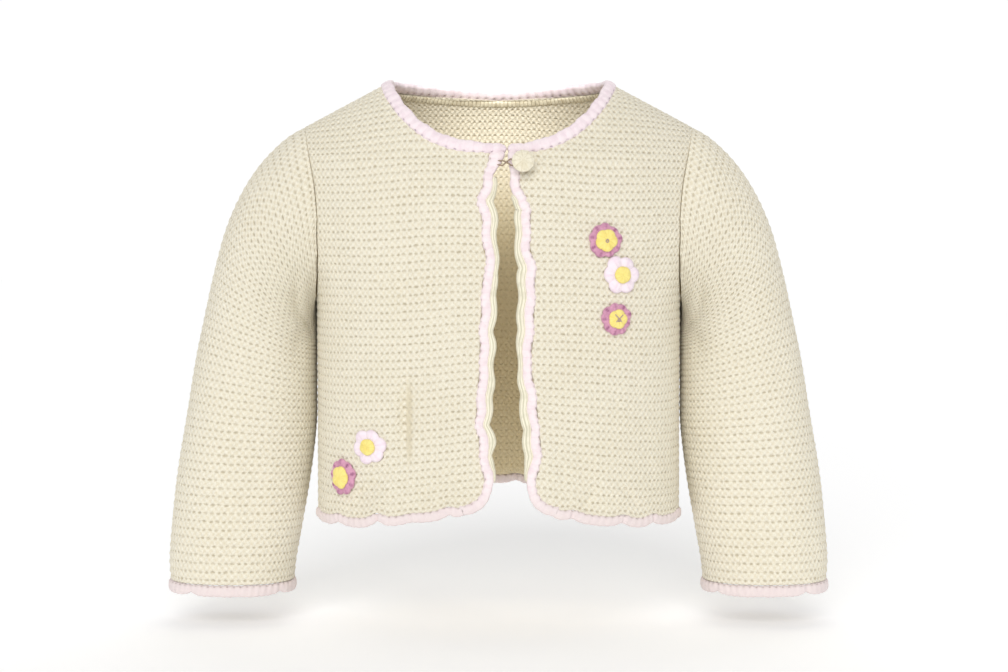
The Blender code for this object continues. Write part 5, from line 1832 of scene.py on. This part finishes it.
@dataclass
class Flower:
    """A crochet flower laid on a front: petals, a raised yellow centre and its holding stitch."""

    node: str
    x: float
    z: float
    radius: float
    centre: float
    turn: float
    petals: Petals
    knot: Knot = Knot.NONE
    tall: float = 1.0

    def spot(self, across: Array, up: Array, lift: Array) -> Array:
        """Points over the front, by offset from the flower's middle."""
        along, height = FORMS[Face.FRONT].from_front(self.x, self.z)
        return FORMS[Face.FRONT].lifted(along + across, height + up, lift)

    def disc(self, radius: Array, top: Array, low: float, lap: float) -> Array:
        """Points of a soft disc from the middle of its top round its rim to the underside.

        Args:
            radius: reach of the rim at each angle.
            top: height of the top by share of the radius and angle.
            low: height of the underside.
            lap: how tall it is against its width.

        Returns:
            A grid of points, one row for each ring.
        """
        steps = top.shape[0]
        share = np.linspace(0, 1, steps)[:, None]
        angle = np.linspace(0, 2 * math.pi, top.shape[1])[None]
        reach = radius[None] * share
        upper = self.spot(reach * np.cos(angle), reach * np.sin(angle) * lap, top)
        under = np.array([0.97, 0.6, 0.0])[:, None]
        reach = radius[None] * under
        lift = np.full(reach.shape, low)
        lower = self.spot(reach * np.cos(angle), reach * np.sin(angle) * lap, lift)
        return np.concatenate([upper, lower])

    def mauve_ring(self, angle: Array, share: Array) -> tuple[Array, Array]:
        """Reach of the rim and height of the top of nine posts with a groove round them."""
        turned = angle + self.turn
        dip = 1 - np.abs(np.sin(turned * MAUVE_POSTS / 2)) ** 0.7
        uneven = 0.03 * np.sin(3 * angle + self.turn * 9) + 0.02 * np.sin(5 * angle)
        full = rounded_off(share, 0.78, 0.23)
        strands = np.abs(np.sin(turned * MAUVE_POSTS + share * 2.5)) ** 0.6
        strands = strands * smooth(share / 0.2)
        groove = np.exp(-(((share - 0.74) / 0.05) ** 2))
        top = SEAM + (0.0016 + 0.0005 * strands) * full - 0.0004 * groove * full
        top = top - 0.0007 * dip * smooth((share - 0.6) / 0.3)
        return self.radius * (1.02 - 0.10 * dip + uneven), top

    def pale_lobes(self, angle: Array, share: Array) -> tuple[Array, Array]:
        """Reach of the rim and height of the top of six soft lobes."""
        turned = angle + self.turn
        dip = 1 - np.abs(np.sin(turned * PALE_LOBES / 2)) ** 0.8
        uneven = 0.035 * np.sin(2 * angle + self.turn * 7) + 0.03 * np.sin(3 * angle + 1.3)
        full = rounded_off(share, 0.70, 0.31)
        strands = np.abs(np.cos(turned * PALE_LOBES * 1.5)) ** 0.6
        strands = strands * smooth(share / 0.2)
        top = SEAM + (0.0018 + 0.00022 * strands) * full
        top = top - 0.0011 * dip**1.6 * smooth((share - 0.30) / 0.4) * full
        return self.radius * (1.02 - 0.17 * dip + uneven), top

    def build(self) -> None:
        """Builds and dresses the flower."""
        angle = np.linspace(0, 2 * math.pi, FLOWER_COLUMNS + 1)
        share = np.linspace(0, 1, FLOWER_RINGS)[:, None]
        if self.petals is Petals.MAUVE_RING:
            lobes, finish, (radius, top) = MAUVE_POSTS, MAUVE, self.mauve_ring(angle, share)
        else:
            lobes, finish, (radius, top) = PALE_LOBES, PALE, self.pale_lobes(angle, share)
        points = self.disc(radius, np.maximum(top, SEAM + 0.0003), SEAM, self.tall)
        stitch = (angle + self.turn) * lobes / (2 * math.pi)
        self.dress("petals", points, stitch, share, finish)
        self.build_centre(angle, share)
        self.build_knot()

    def dress(
        self, word: str, points: Array, stitch: Array, share: Array, finish: CrochetFinish
    ) -> None:
        """Makes a piece of the flower from the points of a disc."""
        turn = np.concatenate([share[:, 0] * 0.6, [0.8, 0.9, 1.0]])[:, None]
        places = np.stack(np.broadcast_arrays(stitch[None], turn), axis=-1)
        item = shaped_grid(f"crochet_{self.node}_{word}", points, places)
        finish_piece(item, finish, [f"{self.node}_{word}"])

    def build_centre(self, angle: Array, share: Array) -> None:
        """Builds the raised yellow centre."""
        turned = angle + self.turn + 0.6
        depth = 0.13 if self.petals is Petals.MAUVE_RING else 0.05
        dip = 1 - np.abs(np.sin(turned * 2.5)) ** 0.7
        full = rounded_off(share, 0.45, 0.56)
        strands = np.abs(np.sin(turned * 5.0 + share * 1.5)) ** 0.6
        top = CENTRE_FOOT + 0.0016 * full
        top = top + 0.00022 * (strands - 0.5) * smooth(share / 0.4) * full
        top = top - 0.0005 * dip * smooth((share - 0.4) / 0.4)
        top = top - 0.0004 * np.exp(-((share / 0.12) ** 2))
        top = np.maximum(top, CENTRE_FOOT + 0.0002)
        points = self.disc(self.centre * (1.04 - depth * dip), top, CENTRE_FOOT, self.tall)
        self.dress("centre", points, turned * 10 / (2 * math.pi), share, YELLOW)

    def build_knot(self) -> None:
        """Builds the small stitches on the centre."""
        lift = CENTRE_FOOT + 0.0015
        square = [(-0.9, -0.7), (0.1, 0.6), (0.9, -0.5), (-0.1, -1.4)]
        lines = []
        if self.knot is not Knot.NONE:
            lines = [(square[k], square[(k + 1) % 4]) for k in range(4)]
        if self.knot is Knot.CROSS:
            lines += [((-2.2, 2.6), (1.6, -1.6)), ((2.2, 2.4), (-1.8, -1.7))]
        for number, ((a, b), (c, d)) in enumerate(lines):
            share = np.linspace(0, 1, 9)
            across, up = (a + (c - a) * share) * 0.001, (b + (d - b) * share) * 0.001
            rise = lift + 0.0003 * np.sin(math.pi * share)
            path = self.spot(across, up, rise)
            out = self.spot(across, up, rise + 0.001) - path
            name = f"holding_stitch_{self.node}_{number}"
            thread_piece(name, path, out, 0.00032, KNOT, [])


# Threads: sides of their section, and length of one twist against the radius
THREAD_SIDES = 12
TWIST_LENGTH = 9


def thread_piece(
    name: str, path: Array, outs: Array, radius: float, finish: Finish, nodes: Sequence[str],
    ring_step: float = 0.7,
) -> bpy.types.Object:
    """A thread of two twisted strands along a path.

    Args:
        name: the piece's name.
        path: points along it.
        outs: directions out of the cloth.
        radius: half its thickness.
        finish: what it wears.
        nodes: the nodes that it stands for.
        ring_step: distance between its rings, against its radius.

    Returns:
        The thread.
    """
    line = EdgeLine(path, outs, outs, step=radius * ring_step)
    angle = np.linspace(0, 2 * math.pi, THREAD_SIDES + 1)
    twist = line.run / (radius * TWIST_LENGTH) * 2 * math.pi
    bulge = 0.75 + 0.25 * np.abs(np.cos(angle[None] + twist[:, None]))
    near = np.minimum(line.run, line.run[-1] - line.run)
    tip = np.sqrt(np.clip(near / radius, 0.02, 1.0))[:, None]
    side = unit(np.cross(np.gradient(line.points, axis=0), line.outs))
    spread = radius * bulge * tip
    points = (
        line.points[:, None]
        + side[:, None] * (spread * np.cos(angle))[..., None]
        + line.outs[:, None] * (spread * np.sin(angle))[..., None]
    )
    places = np.stack(np.broadcast_arrays(twist[:, None], angle[None]), axis=-1)
    return finish_piece(shaped_grid(name, points, places), finish, nodes)


@dataclass
class Seams:
    """The sewing yarn that shows in the seams of the shoulders, armholes and sides."""

    radius: float = 0.0007
    sunk: float = 0.0009

    def build(self) -> None:
        """Lays a yarn in each seam."""
        up = np.linspace(0.003, UNDERARM, 60)
        sides = np.stack([FORMS[Face.FRONT].side_length(up), up], axis=1)
        for side, word in ((-1, "right"), (1, "left")):
            self.lay("side_seam_" + word, Face.FRONT, side, sides)
            self.lay("shoulder_seam_" + word, Face.FRONT, side, shoulder_line(Face.FRONT))
            for face in Face:
                name = f"armhole_seam_{face.name.lower()}_{word}"
                self.lay(name, face, side, armhole_line(face))

    def lay(self, name: str, face: Face, side: int, line: Array) -> None:
        """Lays one yarn along points given by arc and height."""
        at = np.linspace(0, len(line) - 1, 120)
        rows = np.arange(len(line))
        along, height = (np.interp(at, rows, line[:, k]) for k in (0, 1))
        points, outs = laid(face, side * along, height)
        path = points - outs * self.sunk
        thread_piece(name, path, outs, self.radius, SEAM_YARN, [], ring_step=1.6)


@dataclass
class Fastening:
    """The crochet button on the wearer's left front and the thread loop that holds it."""

    x: float = 0.0126
    z: float = -0.0478
    radius: float = 0.0061
    lift: float = 0.0038
    thick: float = 0.0042
    shank: float = 0.0012
    rounds: float = 6.0
    columns: int = 97

    def frame(self) -> tuple[Array, Array, Array, Array]:
        """The button's foot and the directions out of, across and up the cloth."""
        along, height = FORMS[Face.FRONT].from_front(self.x, self.z)
        foot = FORMS[Face.FRONT].point(np.array([along]), np.array([height]))[0]
        out = FORMS[Face.FRONT].normal(np.array([along]), np.array([height]))[0]
        across = unit(np.array((1.0, 0, 0)) - out * out[0])
        up = np.cross(out, across)
        return foot, out, across, up if up[2] > 0 else -up

    def build(self) -> None:
        """Builds the button and its loop."""
        self.build_button()
        self.build_loop()

    def build_button(self) -> None:
        """Builds the domed button with its rings of crochet, on its shank."""
        foot, out, across, up = self.frame()
        angle = np.linspace(0, 2 * math.pi, self.columns)
        share = np.linspace(0, 1, 33)
        swing = math.pi * share
        reach = self.radius * np.sin(swing) ** 0.85
        rise = self.lift + self.thick / 2 * (1 - np.cos(swing))
        ring = share * self.rounds
        number = ring.astype(int)
        count = 9 + 3 * (number % 2)
        lean = angle[None] * count[:, None] + 1.7 * number[:, None]
        bead = np.abs(np.cos(lean / 2)) ** 0.7
        band = np.abs(np.sin(math.pi * ring))[:, None] ** 0.6
        grown = 0.00042 * (bead * band - 1.0) * np.sin(swing)[:, None] ** 0.3
        reach, rise = reach[:, None] + grown, rise[:, None] - grown * np.cos(swing)[:, None]
        reach[0] = reach[-1] = 0.0
        level = np.ones((1, self.columns))
        shank = [level * 0.0, level * self.shank, level * self.shank]
        closed = np.concatenate([*shank, reach[3:]])
        rises = np.concatenate([level * SEAM, level * SEAM, level * self.lift, rise[3:]])
        points = (
            foot
            + across * (closed * np.cos(angle))[..., None]
            + up * (closed * np.sin(angle))[..., None]
            + out * rises[..., None]
        )
        turn = np.concatenate([[0, 0, 0], ring[3:]]) % 1.0
        stitch = angle * 9 / (2 * math.pi)
        places = np.stack(np.broadcast_arrays(stitch[None], turn[:, None]), axis=-1)
        item = shaped_grid("crochet_button", points, places)
        finish_piece(item, BUTTON_YARN, ["button"])

    def build_loop(self) -> None:
        """Builds the loop from the right front's edge round the button's shank."""
        foot, out, across, up = self.frame()
        turn = np.linspace(math.pi / 2, -math.pi / 2, 9)
        spots = [(-0.0135, -0.0004, 0.0002), (-0.0106, -0.0012, 0.0010)]
        spots += [(-0.0086, 0.0004, 0.0022), (-0.0066, 0.0018, 0.0029)]
        spots += [(0.00212 * math.cos(t), 0.0024 * math.sin(t), 0.0031) for t in turn]
        spots += [(-0.0064, -0.0014, 0.0029), (-0.0084, 0.0002, 0.0028)]
        spots += [(-0.0104, 0.0014, 0.0014), (-0.0135, 0.0016, 0.0002)]
        path = np.array([foot + across * a + up * b + out * c for a, b, c in spots])
        outs = np.tile(out, (len(path), 1))
        thread_piece("thread_loop", path, outs, 0.00046, THREAD, ["button_loop"])


FLOWERS = (
    Flower(
        "flower_chest_top", 0.0560, -0.0878, 0.0090, 0.0058, 0.2, Petals.MAUVE_RING, Knot.SQUARE
    ),
    Flower("flower_chest_middle", 0.0646, -0.1058, 0.0101, 0.0044, 0.5, Petals.PALE_LOBES),
    Flower(
        "flower_chest_low", 0.0620, -0.1291, 0.0085, 0.0051, 0.0, Petals.MAUVE_RING, Knot.CROSS
    ),
    Flower("flower_hem_inner", -0.0684, -0.1970, 0.0096, 0.0043, 0.3, Petals.PALE_LOBES),
    Flower(
        "flower_hem_outer", -0.0833, -0.2143, 0.0088, 0.0054, 0.1, Petals.MAUVE_RING, tall=1.10
    ),
)


@dataclass(frozen=True)
class Sun:
    """A soft light from far away: its strength, its turns and how wide it spreads, in degrees."""

    name: str
    strength: float
    tilt: float
    lean: float
    spread: float


@dataclass
class Studio:
    """The camera, the pale floor and the soft light."""

    camera_place: Place = (0.0, -0.899, -0.098)
    camera_tilt: float = 87.294
    lens: float = 57.39
    shift_x: float = 0.00546
    floor_z: float = -0.3000
    floor_tone: float = 0.88
    floor_glow: float = 0.30
    world_strength: float = 0.36
    world_seen: float = 1.02
    suns: tuple[Sun, ...] = (
        Sun("key", 1.76, 60.0, -10.0, 44.0),
        Sun("rear_fill", 0.8, -48.0, 12.0, 60.0),
    )
    spot_power: float = 10.5
    spot_place: Place = (0.0, -0.45, 0.25)
    spot_tilt: float = 63.3
    spot_size: float = 13.0
    spot_blend: float = 0.8
    spot_softness: float = 0.03

    def camera(self) -> None:
        """Places the camera at the photograph's viewing angle."""
        data = bpy.data.cameras.new("camera")
        data.lens = self.lens
        data.sensor_width = 36.0
        data.shift_x = self.shift_x
        item = bpy.data.objects.new("camera", data)
        item.location = self.camera_place
        item.rotation_euler = (math.radians(self.camera_tilt), 0.0, 0.0)
        bpy.context.scene.collection.objects.link(item)
        bpy.context.scene.camera = item

    def floor(self) -> None:
        """Lays the pale floor just under the cuffs."""
        bpy.ops.object.select_all(action="DESELECT")
        bpy.ops.mesh.primitive_plane_add(size=30.0, location=(0, 0, self.floor_z))
        item = bpy.context.object
        item.name = "studio_floor"
        made = bpy.data.materials.new("studio_floor")
        made.use_nodes = True
        shader = made.node_tree.nodes["Principled BSDF"]
        shader.inputs["Base Color"].default_value = (*(self.floor_tone,) * 3, 1.0)
        shader.inputs["Roughness"].default_value = 0.9
        shader.inputs["Specular IOR Level"].default_value = 0.0
        shader.inputs["Emission Color"].default_value = (1.0, 1.0, 1.0, 1.0)
        shader.inputs["Emission Strength"].default_value = self.floor_glow
        item.data.materials.append(made)

    def surroundings(self) -> None:
        """Makes the world white, and brighter for the camera than for the cardigan."""
        world = bpy.data.worlds.new("white_studio")
        bpy.context.scene.world = world
        world.use_nodes = True
        draw = Shading(world.node_tree)
        back = world.node_tree.nodes["Background"]
        seen = draw.node("LightPath").outputs["Is Camera Ray"]
        more = self.world_seen - self.world_strength
        power = draw.math("MULTIPLY_ADD", seen, more, self.world_strength)
        draw.feed(back.inputs["Strength"], power)
        back.inputs["Color"].default_value = (1.0, 1.0, 1.0, 1.0)

    def light(self) -> None:
        """Sets a soft light from the front, one from behind and a small one into the neck."""
        for sun in self.suns:
            data = bpy.data.lights.new(sun.name, "SUN")
            data.energy = sun.strength
            data.angle = math.radians(sun.spread)
            item = bpy.data.objects.new(sun.name, data)
            item.rotation_euler = (math.radians(sun.tilt), math.radians(sun.lean), 0.0)
            bpy.context.scene.collection.objects.link(item)
        data = bpy.data.lights.new("into_the_neck", "SPOT")
        data.energy = self.spot_power
        data.spot_size = math.radians(self.spot_size)
        data.spot_blend = self.spot_blend
        data.shadow_soft_size = self.spot_softness
        item = bpy.data.objects.new("into_the_neck", data)
        item.location = self.spot_place
        item.rotation_euler = (math.radians(self.spot_tilt), 0.0, 0.0)
        bpy.context.scene.collection.objects.link(item)

    def build(self) -> None:
        """Sets up the studio."""
        self.camera()
        self.floor()
        self.surroundings()
        self.light()
        bpy.context.scene.view_settings.view_transform = "Standard"


def main() -> None:
    """Builds every piece of the cardigan and the studio round it."""
    logging.basicConfig(level=logging.INFO, format="%(message)s")
    Studio().build()
    for panel in (
        BodyPanel("back", Face.BACK, (-1, 1), (0.265, 0.235), 0.055, BACK_RIDGE_CELLS),
        BodyPanel("front_right", Face.FRONT, (-1,), (0.125, 0.235), 0.026),
        BodyPanel("front_left", Face.FRONT, (1,), (0.125, 0.235), 0.026),
    ):
        item = panel.build()
    for side, node in ((-1, "sleeve_right"), (1, "sleeve_left")):
        item = Sleeve(side, node).build()
    for side, name in ((-1, "right"), (1, "left")):
        FrontTrim(side, name).build()
        CuffTrim(side, name).build()
    HemTrim().build()
    NeckTrim().build()
    Seams().build()
    for flower in FLOWERS:
        flower.build()
    Fastening().build()
    bpy.ops.object.select_all(action="DESELECT")


if __name__ == "__main__":
    main()
